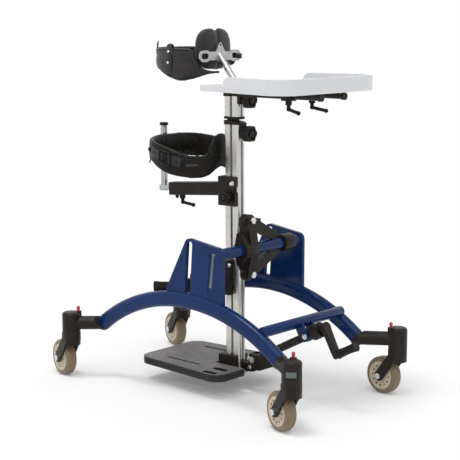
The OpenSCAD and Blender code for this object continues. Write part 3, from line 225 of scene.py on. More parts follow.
steel = finish("bright_steel", (0.58, 0.60, 0.62), (0.70, 0.71, 0.71), 120, (0.2, 0.36), 1200, 0.02, 1.0)
# A painted highlight along the edges
steel.edge_highlight((0.82, 0.82, 0.82), 0.6)

plate_steel = finish("plate_steel", (0.40, 0.405, 0.41), (0.50, 0.505, 0.51), 80, (0.28, 0.44), 1100, 0.02, 1.0)
# Darker patches, and a painted highlight along the edges
plate_steel.tint(plate_steel.noise(240), (0.30, 0.305, 0.31), 0.52, 0.75).edge_highlight((0.66, 0.66, 0.66), 0.8)

chrome = finish("chrome", (0.38, 0.395, 0.395), (0.47, 0.485, 0.485), 70, (0.08, 0.2), 900, 0.01, 1.0)

brass = finish("brass", (0.50, 0.38, 0.20), (0.40, 0.29, 0.14), 160, (0.26, 0.44), 1500, 0.02, 1.0)

tyre = finish("brown_tyre", (0.190, 0.137, 0.083), (0.240, 0.178, 0.114), 60, (0.34, 0.54), 900, 0.06,
              Specular_IOR_Level=0.4, Subsurface_Weight=0.25, Subsurface_Scale=0.004)
tyre.tint(tyre.noise(520), (0.135, 0.092, 0.052), 0.56, 0.8)

cream = finish("cream_plastic", (0.60, 0.52, 0.40), (0.50, 0.42, 0.31), 90, (0.34, 0.5), 1300, 0.03)
# A painted highlight along the edges
cream.edge_highlight((0.72, 0.65, 0.53), 0.8)

red = finish("red_plastic", (0.52, 0.012, 0.03), (0.42, 0.010, 0.022), 200, (0.26, 0.4), 1500, 0.02,
             Coat_Weight=0.3)

tray_grey = finish("grey_plastic", (0.67, 0.69, 0.715), (0.72, 0.735, 0.755), 9, (0.28, 0.31), 1100, 0.03,
                   Coat_Weight=0.2, Coat_Roughness=0.2, Subsurface_Weight=0.15, Subsurface_Scale=0.006)
# A painted highlight along the rims and edges
tray_grey.edge_highlight((0.88, 0.885, 0.895), 1.8)

tread = finish("footplate_tread", (0.145, 0.137, 0.134), (0.190, 0.180, 0.176), 40, (0.40, 0.60), 900, 0.1,
               Specular_IOR_Level=0.35)
tread.tint(tread.noise(260), (0.105, 0.100, 0.096), 0.5, 0.75)
# Painted shade: faces turned away from up, the footplate's sides, go near black, and only the upward faces keep
# the tread's grey
tread.tint(tread.upward(), (0.011, 0.0105, 0.010), 0.92, 0.6)
tread.bump(tread.cells(520), 0.2, 0.6)

vinyl = finish("padding", (0.0062, 0.0050, 0.0038), (0.0110, 0.0092, 0.0072), 25, (0.22, 0.42), 90, 0.5,
               Specular_IOR_Level=0.17)
vinyl.bump(vinyl.cells(900), 0.16, 0.6)

knit = finish("knit_cover", (0.0115, 0.0097, 0.0086), (0.0195, 0.0168, 0.0152), 60, (0.40, 0.62), 120, 0.5,
              Specular_IOR_Level=0.3, Sheen_Weight=0.25, Sheen_Roughness=0.5)
knit.tint(knit.noise(420, GRAIN_DETAIL), (0.008, 0.0075, 0.007), 0.5, 0.7)
knit.bump(knit.waves(210, "DIAGONAL", 1.5), 0.3, 0.6).bump(knit.cells(620), 0.3, 0.7)

webbing = finish("webbing", (0.0125, 0.0118, 0.0113), (0.026, 0.0245, 0.0235), 400, (0.6, 0.8), 1500, 0.05,
                 Specular_IOR_Level=0.3, Sheen_Weight=0.25, Sheen_Roughness=0.5)
webbing.bump(webbing.waves(260, "Z"), 0.25, 0.7).bump(webbing.waves(420, "DIAGONAL"), 0.2, 0.6)

thread = finish("thread", (0.03, 0.028, 0.027), (0.045, 0.042, 0.04), 300, (0.55, 0.7), 1800, 0.05)

label_grey = finish("label_grey", (0.085, 0.115, 0.108), (0.115, 0.145, 0.138), 220, (0.3, 0.5), 1500, 0.02)

pale_marks = finish("pale_marks", (0.17, 0.19, 0.24), (0.23, 0.25, 0.30), 300, (0.42, 0.6), 1500, 0.02)

# The finishes of the part's own slots
look = {s.name: s for s in (blue, black_metal, black_plastic, silver, steel, chrome, brass, tyre, cream, red,
                            tray_grey, vinyl)}


def dress(obj, shader):
    obj.data.materials.clear()
    obj.data.materials.append(shader.material)


for part in frame["record"]["subparts"]:
    dress(nodes[part["node"]], look[part["material_slot"]])
dress(nodes["footplate"], tread)
dress(nodes["chest_plate"], plate_steel)
dress(nodes["inner_slide"], black_metal)


# Rounded edges on the CAD pieces

EDGE_ROUND_MM = {
    "right_side_plate": 1.0, "left_side_plate": 1.0, "footplate": 2.2, "tray_board": 2.4, "hip_arm": 1.6,
    "mast_collar": 1.0, "tilt_bracket": 1.4, "spindle_bracket": 0.9, "crank_arm": 1.2, "tray_clamps": 1.0,
    "tray_rails": 0.8, "collar_knob": 1.2, "tray_knob": 1.2, "hip_knob": 0.8, "knee_bracket": 1.4,
    "footplate_bracket": 1.2, "chest_plate": 0.6, "hip_post": 0.8, "lower_cross_bar": 0.7,
    "front_right_fork": 1.2, "front_left_fork": 1.2, "rear_right_fork": 1.2, "rear_left_fork": 1.2,
}


ROUND_STEPS, ROUND_FROM_DEG = 3, 40


def round_edges(obj, width_mm):
    """Joins a CAD mesh's doubled points and rounds its edges, by modifiers."""
    weld = obj.modifiers.new("weld", "WELD")
    weld.merge_threshold = SAME_POINT * MM
    bevel = obj.modifiers.new("bevel", "BEVEL")
    bevel.width = width_mm * MM
    bevel.segments = ROUND_STEPS
    bevel.limit_method = "ANGLE"
    bevel.angle_limit = math.radians(ROUND_FROM_DEG)
    bevel.use_clamp_overlap = True
    bevel.harden_normals = True


for node_name, width_mm in EDGE_ROUND_MM.items():
    round_edges(nodes[node_name], width_mm)


# Mesh helpers

FINE_POINT, SHARP_DEG, STEEP = 0.001, 45, 0.05


def new_piece(name, shape, shader, body):
    """A piece from vertices and faces, with doubled points joined and its faces turned outwards.

    Its slot has the finish's own name.
    """
    mesh = bpy.data.meshes.new(name)
    verts, faces = shape
    mesh.from_pydata([tuple(v) for v in verts], [], faces)
    mesh.validate()
    bm = bmesh.new()
    bm.from_mesh(mesh)
    bmesh.ops.remove_doubles(bm, verts=bm.verts, dist=FINE_POINT * MM)
    bmesh.ops.recalc_face_normals(bm, faces=bm.faces)
    bm.to_mesh(mesh)
    bm.free()
    return placed(name, mesh, shader, body)


def added(name, data):
    """A new object in the scene."""
    obj = bpy.data.objects.new(name, data)
    bpy.context.scene.collection.objects.link(obj)
    return obj


def placed(name, mesh, shader, body):
    """Puts a mesh in the scene as a piece that moves with a body."""
    mesh.polygons.foreach_set("use_smooth", [True] * len(mesh.polygons))
    mesh.set_sharp_from_angle(angle=math.radians(SHARP_DEG))
    obj = added(name, mesh)
    dress(obj, shader)
    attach(obj, body)
    return obj


def loft(rings, closed=False):
    """Vertices and faces of a tube through rings of equal length; open tubes get flat ends."""
    count, sides = len(rings), len(rings[0])
    verts = [p for ring in rings for p in ring]
    faces = []
    for i in range(count if closed else count - 1):
        a, b = i * sides, (i + 1) % count * sides
        for j in range(sides):
            k = (j + 1) % sides
            faces.append((a + j, a + k, b + k, b + j))
    if not closed:
        faces.append(tuple(range(sides)))
        faces.append(tuple((count - 1) * sides + j for j in reversed(range(sides))))
    return verts, faces


def ways(path, closed):
    """The direction of a path at each of its points."""
    count = len(path)
    out = []
    for i in range(count):
        before = path[(i - 1) % count] if closed or i else path[i]
        after = path[(i + 1) % count] if closed or i < count - 1 else path[i]
        out.append((after - before).normalized())
    return out


def circle(sides):
    return [2 * math.pi * j / sides for j in range(sides)]


def tube(path, radius_mm, sides=8, closed=False, ripple=0.0, ripple_every=3):
    """A round bar along a path; ripple makes it swell and shrink as a weld bead does."""
    rings = []
    for i, (point, way) in enumerate(zip(path, ways(path, closed))):
        side = way.cross(UP)
        if side.length < STEEP:
            side = way.cross(Vector((1, 0, 0)))
        side.normalize()
        top = side.cross(way)
        radius = radius_mm * MM * (1 + ripple * math.cos(2 * math.pi * i / ripple_every))
        rings.append([point + radius * (side * math.cos(t) + top * math.sin(t)) for t in circle(sides)])
    return loft(rings, closed)


def ribbon(path, across, width_mm, thick_mm, closed=False, narrowing=None):
    """A flat strap along a path.

    across gives its width direction at each point, and narrowing the share of its width that is left there.
    """
    rings = []
    edge = thick_mm / 2 * MM
    for point, way, wide, share in zip(path, ways(path, closed), across, narrowing or [1] * len(path)):
        half = width_mm / 2 * MM * share
        shape = [(half, -edge / 2), (half, edge / 2), (half - edge, edge), (edge - half, edge),
                 (-half, edge / 2), (-half, -edge / 2), (edge - half, -edge), (half - edge, -edge)]
        wide = (wide - way * wide.dot(way)).normalized()
        out = way.cross(wide)
        rings.append([point + wide * a + out * b for a, b in shape])
    return loft(rings, closed)


def turned(profile, place, way, steps=24):
    """A solid of revolution: (radius, height) pairs in millimetres round an axis through place."""
    axis = Vector(way).normalized()
    side = axis.orthogonal().normalized()
    other = axis.cross(side)
    rings = []
    for radius, height in profile:
        middle = Vector(place) + axis * height * MM
        rings.append([middle + radius * MM * (side * math.cos(t) + other * math.sin(t)) for t in circle(steps)])
    return loft(rings)


def joined(*parts):
    """One list of vertices and faces from several."""
    verts, faces = [], []
    for part_verts, part_faces in parts:
        start = len(verts)
        verts.extend(part_verts)
        faces.extend(tuple(start + i for i in face) for face in part_faces)
    return verts, faces


def mm(*xyz):
    return Vector(xyz) * MM


# Padded pieces

CLOTH = {"quality": 6, "mass": 0.25, "tension_stiffness": 12, "compression_stiffness": 12, "shear_stiffness": 6,
         "bending_stiffness": 0.4, "use_pressure": True, "uniform_pressure_force": 4.0, "pin_stiffness": 1}
CLOTH_GRID, CLOTH_STEPS, LEAST_MOVE_M = 4, 20, 1e-9


def soft_copy(node, name, shader, body, shrink_mm):
    """A new piece with the shape of a CAD solid, drawn in a little so that it can swell."""
    bm = bmesh.new()
    bm.from_mesh(nodes[node].data)
    bmesh.ops.remove_doubles(bm, verts=bm.verts, dist=SAME_POINT * MM)
    bmesh.ops.recalc_face_normals(bm, faces=bm.faces)
    bm.normal_update()
    for vert in bm.verts:
        vert.co -= vert.normal * shrink_mm * MM
    mesh = bpy.data.meshes.new(name)
    bm.to_mesh(mesh)
    bm.free()
    obj = placed(name, mesh, shader, body)
    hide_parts(node)
    return obj


def stuff(obj, sewn, cap_mm):
    """Blows the piece up as stuffed cloth: sewn points stay put, the panels swell by cap_mm at most."""
    bpy.context.view_layer.objects.active = obj
    obj.select_set(True)
    obj.data.remesh_voxel_size = CLOTH_GRID * MM
    bpy.ops.object.voxel_remesh()
    obj.select_set(False)
    mesh = obj.data
    rest = np.array([v.co for v in mesh.vertices])
    pins = obj.vertex_groups.new(name="seams")
    pins.add([v.index for v in mesh.vertices if sewn(v.co / MM, v.normal)], 1.0, "REPLACE")
    cloth = obj.modifiers.new("cloth", "CLOTH")
    for key, value in CLOTH.items():
        setattr(cloth.settings, key, value)
    cloth.settings.vertex_group_mass = pins.name
    cloth.settings.effector_weights.gravity = 0
    cloth.collision_settings.use_collision = False
    for step in range(1, CLOTH_STEPS + 1):
        bpy.context.scene.frame_set(step)
    graph = bpy.context.evaluated_depsgraph_get()
    move = np.array([v.co for v in obj.evaluated_get(graph).data.vertices]) - rest
    obj.modifiers.remove(cloth)
    obj.vertex_groups.remove(pins)
    bpy.context.scene.frame_set(1)
    length = np.linalg.norm(move, axis=1, keepdims=True)
    cap = cap_mm * MM
    move *= cap * np.tanh(length / cap) / np.maximum(length, LEAST_MOVE_M)
    mesh.vertices.foreach_set("co", (rest + move).ravel())
    mesh.update()
    mesh.polygons.foreach_set("use_smooth", [True] * len(mesh.polygons))
    finer = obj.modifiers.new("finer", "SUBSURF")
    finer.levels = 1
    finer.render_levels = 1


def reshape(obj, move):
    """Moves each point of a padded piece by what move gives for it, in millimetres."""
    points = np.array([v.co for v in obj.data.vertices])
    normals = [v.normal.copy() for v in obj.data.vertices]
    for i, normal in enumerate(normals):
        points[i] += np.array(move(Vector(points[i]) / MM, normal)) * MM
    obj.data.vertices.foreach_set("co", points.ravel())
    obj.data.update()


def points_of(obj):
    graph = bpy.context.evaluated_depsgraph_get()
    return np.array([v.co for v in obj.evaluated_get(graph).data.vertices])


class Wrap:
    """A padded band seen from its middle: where its faces and edges lie at each turn, 0 at the front."""

    BIN = 4
    REACH_M = 0.3

    def __init__(self, obj):
        points = points_of(obj)
        self.tree = BVHTree.FromObject(obj, bpy.context.evaluated_depsgraph_get())
        self.middle = Vector((points.min(0) + points.max(0)) / 2)
        turns = np.degrees(np.arctan2(points[:, 0] - self.middle.x, self.middle.y - points[:, 1])) % 360
        self.at, self.lows, self.highs = [], [], []
        for start in range(0, 360, self.BIN):
            inside = points[(turns >= start) & (turns < start + self.BIN)]
            if len(inside):
                self.at.append(start + self.BIN / 2)
                self.lows.append(inside[:, 2].min())
                self.highs.append(inside[:, 2].max())

    def height(self, turn, share):
        """Height in metres at a share of the way from the lower to the upper edge."""
        low = np.interp(turn % 360, self.at, self.lows, period=360)
        high = np.interp(turn % 360, self.at, self.highs, period=360)
        return float(low + (high - low) * share)

    def turn_of(self, point):
        return math.degrees(math.atan2(point.x - self.middle.x, self.middle.y - point.y)) % 360

    def turn_at(self, x_mm, y_mm):
        return self.turn_of(mm(x_mm, y_mm, 0))

    def share_of(self, point_mm):
        """Where a point lies between the lower edge, 0, and the upper edge, 1."""
        turn = self.turn_of(point_mm * MM)
        low, high = self.height(turn, 0), self.height(turn, 1)
        return (point_mm.z * MM - low) / max(high - low, MM)

    def out(self, turn):
        a = math.radians(turn)
        return Vector((math.sin(a), -math.cos(a), 0))

    def along(self, turn):
        return self.out(turn + 90)

    def face(self, turn, z, outer=True, proud_mm=0.0):
        """The point on the outer or inner face at a turn and height, a little proud of it."""
        way = self.out(turn)
        middle = Vector((self.middle.x, self.middle.y, z))
        if outer:
            hit = self.tree.ray_cast(middle + way * self.REACH_M, -way, self.REACH_M)[0]
            return hit + way * proud_mm * MM if hit else None
        hit = self.tree.ray_cast(middle, way, self.REACH_M)[0]
        return hit - way * proud_mm * MM if hit else None

    def run(self, turns, share, inset_mm, outer=True, proud_mm=0.0):
        """Points along the band, at a share of its height moved by inset_mm."""
        found = [self.face(t, self.height(t, share) + inset_mm * MM, outer, proud_mm) for t in turns]
        return [p for p in found if p]


def span(first, last, count):
    return [first + (last - first) * i / (count - 1) for i in range(count)]


def ring_turns(count):
    return [360 * i / count for i in range(count)]


def smoothed(path, closed, passes=2):
    """Evens a path out; the ends of an open one stay."""
    for _ in range(passes):
        count = len(path)
        moved = list(path)
        for i in range(count) if closed else range(1, count - 1):
            moved[i] = (path[i - 1] + path[i] * 2 + path[(i + 1) % count]) / 4
        path = moved
    return path


STITCH, STITCH_GAP, STITCH_R, STITCH_SIDES = 3.2, 1.6, 0.4, 5


def stitches(path):
    """Short raised threads along a path."""
    parts = []
    carried = 0.0
    start = path[0]
    for a, b in zip(path, path[1:]):
        carried += (b - a).length
        if carried > (STITCH + STITCH_GAP) * MM:
            way = (b - start).normalized() * STITCH * MM
            parts.append(tube([start, start + way / 2, start + way], STITCH_R, STITCH_SIDES))
            start = b
            carried = 0.0
    return joined(*parts)


# Hip band

HIP_SEAMS, HIP_SEAM_HALF, HIP_RIM_FACING = (28, 332, 118, 242), 1.6, 0.75
HIP_SAG, HIP_SAG_TURN, HIP_SAG_SPREAD = 6.0, 100, 50
HIP_DRAWN_IN, HIP_SWELL = 0.9, 2.6
hip_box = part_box("hip_band")
hip_middle_y = (hip_box[0].y + hip_box[1].y) / 2 / MM
hip_edges = Wrap(nodes["hip_band"])


def hip_sewn(point, normal):
    """Sewn along the rims and at the seams across the band."""
    turn = math.degrees(math.atan2(point.x, hip_middle_y - point.y)) % 360
    beside = min(abs((turn - seam + 180) % 360 - 180) for seam in HIP_SEAMS)
    return abs(normal.z) > HIP_RIM_FACING or beside < HIP_SEAM_HALF


def hip_form(point, normal):
    """The lower edge sags a little on the user's left."""
    turn = hip_edges.turn_of(point * MM)
    sag = HIP_SAG * math.exp(-((turn - HIP_SAG_TURN) / HIP_SAG_SPREAD) ** 4)
    return (0, 0, -sag * max(1 - 2 * hip_edges.share_of(point), 0))


hip_cover = soft_copy("hip_band", "hip_cover", vinyl, "hip_back", HIP_DRAWN_IN)
stuff(hip_cover, hip_sewn, HIP_SWELL)
reshape(hip_cover, hip_form)
hip = Wrap(hip_cover)
ALL_ROUND = ring_turns(150)
PIPING_IN, PIPING_R, STITCH_IN, STITCH_PROUD = 4, 1.2, 8, 0.15


def band_trim(prefix, wrap, body, turns, closed):
    """Piping just inside both edges of the outer face and the upper edge of the inner face, and stitching."""
    for name, share, inset, outer in (("top_piping", 1, -PIPING_IN, True), ("low_piping", 0, PIPING_IN, True),
                                      ("inner_piping", 1, -PIPING_IN, False)):
        path = smoothed(wrap.run(turns, share, inset, outer), closed)
        new_piece(f"{prefix}_{name}", tube(path, PIPING_R, closed=closed), vinyl, body)
    for name, share, inset in (("top_stitching", 1, -STITCH_IN), ("low_stitching", 0, STITCH_IN)):
        path = smoothed(wrap.run(turns, share, inset, True, STITCH_PROUD), closed)
        new_piece(f"{prefix}_{name}", stitches(path), thread, body)


band_trim("hip", hip, "hip_back", ALL_ROUND, True)
SEAM_SHARES, SEAM_PROUD, SEAM_R = span(0.1, 0.9, 14), 0.1, 0.9
for number, seam in enumerate(HIP_SEAMS):
    path = [hip.face(seam, hip.height(seam, share), True, SEAM_PROUD) for share in SEAM_SHARES]
    new_piece(f"hip_seam_{number}", tube([p for p in path if p], SEAM_R), vinyl, "hip_back")

# Hip strap with its ladder buckle, its end tab and the sewn stripe

STRAP_W, STRAP_T, STRAP_SHARE, STRAP_PROUD = 20, 1.8, 0.6, 1.2
strap_turns = span(hip.turn_at(-100, 150), hip.turn_at(-92, 58), 26)
strap_path = smoothed(hip.run(strap_turns, STRAP_SHARE, 0, True, STRAP_PROUD), False)
strap = ribbon(strap_path, [UP] * len(strap_path), STRAP_W, STRAP_T)
new_piece("hip_strap", strap, webbing, "hip_back")
BUCKLE_H, BUCKLE_BAR_R, BUCKLE_CORNER, BUCKLE_PROUD, BUCKLE_BAR_PROUD = 27, 1.9, 2, 3.4, 4.0


def buckle(name, wrap, first, last, share, body):
    """Ladder buckle: a round-cornered frame with two bars across it."""
    def at(turn, up_mm, proud_mm):
        return wrap.face(turn, wrap.height(turn, share) + up_mm * MM, True, proud_mm)

    half = BUCKLE_H / 2
    straight = half - BUCKLE_CORNER
    turns = span(first, last, 9)
    loop = [at(t, half, BUCKLE_PROUD) for t in turns[1:-1]]
    loop += [at(turns[-1], up, BUCKLE_PROUD) for up in span(straight, -straight, 6)]
    loop += [at(t, -half, BUCKLE_PROUD) for t in reversed(turns[1:-1])]
    loop += [at(turns[0], up, BUCKLE_PROUD) for up in span(-straight, straight, 6)]
    parts = [tube(smoothed(loop, True, 1), BUCKLE_BAR_R, closed=True)]
    for turn in (turns[3], turns[5]):
        parts.append(tube([at(turn, up, BUCKLE_BAR_PROUD) for up in span(-half, half, 7)], BUCKLE_BAR_R))
    new_piece(name, joined(*parts), black_plastic, body)


buckle("hip_buckle", hip, hip.turn_at(-103, 106), hip.turn_at(-100, 78), STRAP_SHARE, "hip_back")


# Profiles: a dome or bolt head in shares of its radius and height, a rim, washer or ring in shares of a radius
# and millimetres of height; a head starts a little below its seat, by its SUNK
DOME_SHARES = ((1, 0.3), (0.88, 0.62), (0.62, 0.86), (0.3, 0.97), (0.05, 1))
DOME_SUNK = 0.6
RIVET_RIM = ((1.35, -1.2), (1.35, 0.3), (1.15, 0.8), (1.0, 0.8))
RIVET_PROUD = 1.6
STUD_SIZE, HIP_RIVET_SIZE, CHEST_RIVET_SIZE = (5.0, 5.0), (2.2, 1.4), (2.8, 2.0)


def dome(radius, height):
    """Profile of a domed head."""
    return [(radius, -DOME_SUNK)] + [(wide * radius, up * height) for wide, up in DOME_SHARES]


def rivet(name, wrap, turn, share, radius, height, shader, body):
    """A domed rivet in a low rim, on a band's outer face."""
    place, out = wrap.face(turn, wrap.height(turn, share), True, RIVET_PROUD), wrap.out(turn)
    rim = [(wide * radius, up) for wide, up in RIVET_RIM]
    new_piece(name, joined(turned(rim, place, out), turned(dome(radius, height), place, out)), shader, body)


rivet("hip_strap_stud", hip, hip.turn_at(-97.5, 141), STRAP_SHARE, *STUD_SIZE, black_plastic, "hip_back")
for number, (x, y) in enumerate(((-95, 66), (-100, 124))):
    rivet(f"hip_rivet_{number}", hip, hip.turn_at(x, y), STRAP_SHARE, *HIP_RIVET_SIZE, black_metal, "hip_back")
STRIPE_Z_M, STRIPE_W, STRIPE_T, STRIPE_PROUD = 0.4885, 4, 0.9, 0.25
stripe_turns = span(hip.turn_at(-87, 48), hip.turn_at(-66, 33), 14)
stripe = [hip.face(t, STRIPE_Z_M, True, STRIPE_PROUD) for t in stripe_turns]
stripe = smoothed([p for p in stripe if p], False)
new_piece("hip_sewn_tab", ribbon(stripe, [UP] * len(stripe), STRIPE_W, STRIPE_T), thread, "hip_back")
STRAP_END_T, EDGE_SHARE = 2.2, 0.08


def standing_strap(name, wrap, turn, shape, width_mm, body):
    """A strap end on the outer face; shape has share of height, extra up and proud of it, from end to end."""
    path = []
    for share, up_mm, proud_mm in shape:
        inside = min(max(share, EDGE_SHARE), 1 - EDGE_SHARE)
        base = wrap.face(turn, wrap.height(turn, inside), True, proud_mm)
        path.append(Vector((base.x, base.y, wrap.height(turn, share) + up_mm * MM)))
    across = [wrap.along(turn)] * len(path)
    new_piece(name, ribbon(path, across, width_mm, STRAP_END_T), webbing, body)


LOW_TAB = ((0.3, 0, 1.3), (0.18, 0, 1.3), (0.08, 0, 1.2), (0, -2, 1.5), (0, -6, 3.0), (0, -8, 4.5))
standing_strap("hip_low_tab", hip, 226, LOW_TAB, 14, "hip_back")


# Chest band and chest pad

chest_edges = Wrap(nodes["chest_band"])
CHEST_FOLD_SHARE, CHEST_FOLD_HALF, CHEST_RIM_FACING = 0.57, 0.045, 0.8
CHEST_DRAWN_IN, CHEST_SWELL = 0.9, 2.4
CHEST_ROLL, ROLL_ROUND, ROLL_LOW = 3.0, 0.6, 0.4


def chest_sewn(point, normal):
    """Sewn along the rims and at the fold along the band."""
    from_fold = abs(chest_edges.share_of(point) - CHEST_FOLD_SHARE)
    return abs(normal.z) > CHEST_RIM_FACING or from_fold < CHEST_FOLD_HALF


def chest_form(point, normal):
    """Two rolls, above and below the sewn fold, on the outer face."""
    share = min(max(chest_edges.share_of(point), 0), 1)
    if share < CHEST_FOLD_SHARE:
        roll = math.sin(math.pi * share / CHEST_FOLD_SHARE)
    else:
        roll = math.sin(math.pi * (share - CHEST_FOLD_SHARE) / (1 - CHEST_FOLD_SHARE))
    out = chest_edges.out(chest_edges.turn_of(point * MM))
    return out * (CHEST_ROLL * (max(roll, 0) ** ROLL_ROUND - ROLL_LOW) * max(out.dot(normal), 0))


chest_cover = soft_copy("chest_band", "chest_cover", knit, "chest", CHEST_DRAWN_IN)
stuff(chest_cover, chest_sewn, CHEST_SWELL)
reshape(chest_cover, chest_form)
chest = Wrap(chest_cover)
band_trim("chest", chest, "chest", span(38, 322, 120), False)
fold = smoothed(chest.run(span(60, 300, 110), CHEST_FOLD_SHARE, 0, True, SEAM_PROUD), False)
new_piece("chest_fold_stitching", stitches(fold), thread, "chest")

pad_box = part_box("chest_pad")
pad_middle_x = (pad_box[0].x + pad_box[1].x) / 2 / MM
pad_middle_z = (pad_box[0].z + pad_box[1].z) / 2 / MM
PAD_HALF_W = (pad_box[1].x - pad_box[0].x) / 2 / MM
PAD_HALF = (pad_box[1].z - pad_box[0].z) / 2 / MM
PAD_THICK = (pad_box[1].y - pad_box[0].y) / MM
PAD_FULLER, PAD_TALLER, PAD_DOME = 12.0, 6.5, 1.8
PAD_NOTCH, PAD_NOTCH_W, PAD_CREASE, PAD_CREASE_W = 6.0, 6.0, 3.0, 3.2
PAD_DRAWN_IN, PAD_SWELL, PAD_SEAM_HALF, SIDE_FACING = 1.2, 4.0, 2.6, 0.3


def pad_sewn(point, normal):
    """Sewn round its sides and down its middle."""
    return abs(normal.y) < SIDE_FACING or abs(point.x - pad_middle_x) < PAD_SEAM_HALF


def pad_form(point, normal):
    """The pad is fuller towards the user, domed on top, and a sewn crease parts it in two lobes."""
    depth = (point.y - pad_box[0].y / MM) / PAD_THICK
    crease = math.exp(-((point.x - pad_middle_x) / PAD_CREASE_W) ** 2)
    notch = math.exp(-((point.x - pad_middle_x) / PAD_NOTCH_W) ** 2)
    rise = max(point.z - pad_middle_z, 0) / PAD_HALF
    dome_share = 1 - PAD_DOME * ((point.x - pad_middle_x) / PAD_HALF_W) ** 2
    lift = (PAD_TALLER * dome_share - PAD_NOTCH * notch) * rise
    return (0, PAD_FULLER * max(depth, 0) - PAD_CREASE * crease * normal.y, lift)


pad_cover = soft_copy("chest_pad", "chest_pad_cover", knit, "chest", PAD_DRAWN_IN)
stuff(pad_cover, pad_sewn, PAD_SWELL)
reshape(pad_cover, pad_form)

# Strap over the near side of the chest band, with two rivets, and a loose strap end behind it

CHEST_STRAP_W, CHEST_STRAP_PROUD = 21, 1.4
HUMP, HUMP_STEPS, HUMP_NARROWING = 12.0, 8, 0.45
strap_turn = chest.turn_at(-78, 104)


def strap_run(outside, shares):
    """Points of the chest strap on the band's outer or inner face."""
    return [chest.face(strap_turn, chest.height(strap_turn, s), outside, CHEST_STRAP_PROUD) for s in shares]


outer, inner = strap_run(True, span(0.12, 0.93, 9)), strap_run(False, span(0.93, 0.5, 5))
middle, half_gap = (outer[-1] + inner[0]) / 2, (outer[-1] - inner[0]) / 2
bends = [math.pi * step / HUMP_STEPS for step in range(1, HUMP_STEPS)]
over = outer + [middle + half_gap * math.cos(a) + UP * HUMP * MM * math.sin(a) for a in bends] + inner
narrowing = [1] * len(outer) + [1 - HUMP_NARROWING * math.sin(a) for a in bends] + [1] * len(inner)
strap = ribbon(over, [chest.along(strap_turn)] * len(over), CHEST_STRAP_W, STRAP_END_T, False, narrowing)
new_piece("chest_strap", strap, webbing, "chest")
for number, share in enumerate((0.86, 0.5)):
    rivet(f"chest_rivet_{number}", chest, strap_turn, share, *CHEST_RIVET_SIZE, steel, "chest")
LOOSE_END = ((0.6, 0, 1.4), (0.75, 0, 1.4), (0.9, 0, 1.4), (1, 2, 1.0), (1, 7, 0.4), (1, 12, -0.4))
standing_strap("chest_strap_end", chest, 214, LOOSE_END, 10, "chest")

# Webbing loop through the left eye of the chest plate: (from the plate's end, from its middle) in millimetres

EYE_LOOP = ((-8, 3.4), (-3, 3.2), (1.6, 2.5), (3.0, 0), (1.6, -2.5), (-3, -3.3), (-8, -3.3), (-9.8, -2.1),
            (-10.2, 0), (-9.8, 2.2))
EYE_UP, EYE_LOOP_W, EYE_LOOP_T = 12, 10.6, 1.6
eye_low, eye_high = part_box("chest_plate")
eye_end = Vector((eye_high.x, (eye_low.y + eye_high.y) / 2, eye_low.z + EYE_UP * MM))
eye_path = [eye_end + mm(x, y, 0) for x, y in EYE_LOOP]
eye_loop = ribbon(eye_path, [UP] * len(eye_path), EYE_LOOP_W, EYE_LOOP_T, True)
new_piece("chest_eye_loop", eye_loop, webbing, "chest")


# Knee pads

KNEE_DRAWN_IN, KNEE_SWELL = 1.1, 2.6


def knee_sewn(point, normal):
    """Sewn round its sides."""
    return abs(normal.y) < SIDE_FACING


knee_cover = soft_copy("knee_pads", "knee_pad_cover", vinyl, "knee", KNEE_DRAWN_IN)
stuff(knee_cover, knee_sewn, KNEE_SWELL)


# Small trim on the rigid bodies

SEAT_REACH_M = 0.5
body_trees = {}


def tree_over(*objects):
    """Search tree over CAD solids."""
    shapes = [([v.co.copy() for v in o.data.vertices], [f.vertices for f in o.data.polygons]) for o in objects]
    return BVHTree.FromPolygons(*joined(*shapes))


def tree_of(body):
    """Search tree over all the CAD solids of a body."""
    if body not in body_trees:
        riders = [obj for obj in nodes.values() if obj.parent and obj.parent.name == f"body:{body}"]
        body_trees[body] = tree_over(*riders)
    return body_trees[body]


def seat(body, start_mm, way):
    """The first point of a body met from start_mm along way."""
    return tree_of(body).ray_cast(mm(*start_mm), Vector(way).normalized(), SEAT_REACH_M)[0]


HEAD_SHARES = ((1, 0.2), (1, 0.75), (0.86, 1), (0.05, 1))
HEAD_FOOT, HEAD_SUNK = 0.96, 0.4
WASHER_T, WASHER_WIDER = 0.8, 1.3
WASHER = ((1, -0.3), (1, 0.5), (0.94, WASHER_T), (0.3, WASHER_T))
HEX, ROUND = 6, 20
TO_LEFT, TO_RIGHT, TO_REAR = (1, 0, 0), (-1, 0, 0), (0, 1, 0)


def bolt(name, body, start_mm, way, radius, height, sides=HEX):
    """A bolt head on its washer, seated where a line from start_mm along way meets the body."""
    place = seat(body, start_mm, way)
    out = -Vector(way)
    washer = [(wide * (WASHER_WIDER * radius), up) for wide, up in WASHER]
    profile = [(HEAD_FOOT * radius, -HEAD_SUNK)] + [(wide * radius, up * height) for wide, up in HEAD_SHARES]
    head = turned(profile, place + out.normalized() * WASHER_T * MM, out, sides)
    new_piece(name, joined(turned(washer, place, out), head), steel, body)


bolt("hip_clamp_bolt", "hip", (-60, -21.8, 449.4), TO_LEFT, 4.2, 3.4, ROUND)
for number, (y, z) in enumerate(((-65.7, 77.8), (-68.9, 58.6))):
    bolt(f"spindle_bracket_bolt_{number}", "mast", (-60, y, z), TO_LEFT, 3.4, 2.8)
    bolt(f"spindle_bracket_nut_{number}", "mast", (60, y, z), TO_RIGHT, 3.4, 2.8)
bolt("trunnion_cap_right", "spindle", (-60, -221.8, 151.5), TO_LEFT, 4.6, 2.4, ROUND)
bolt("trunnion_cap_left", "spindle", (60, -221.8, 151.5), TO_RIGHT, 4.6, 2.4, ROUND)
bolt("knee_bracket_bolt", "knee", (-22, -60, 274), TO_REAR, 3.6, 3.0)
KNOB_RING = ((1.3, -0.3), (1.3, 0.6), (1.1, 0.9), (1, 0.4))
KNOB_DOME, KNOB_AWAY_M = 1.6, 0.1


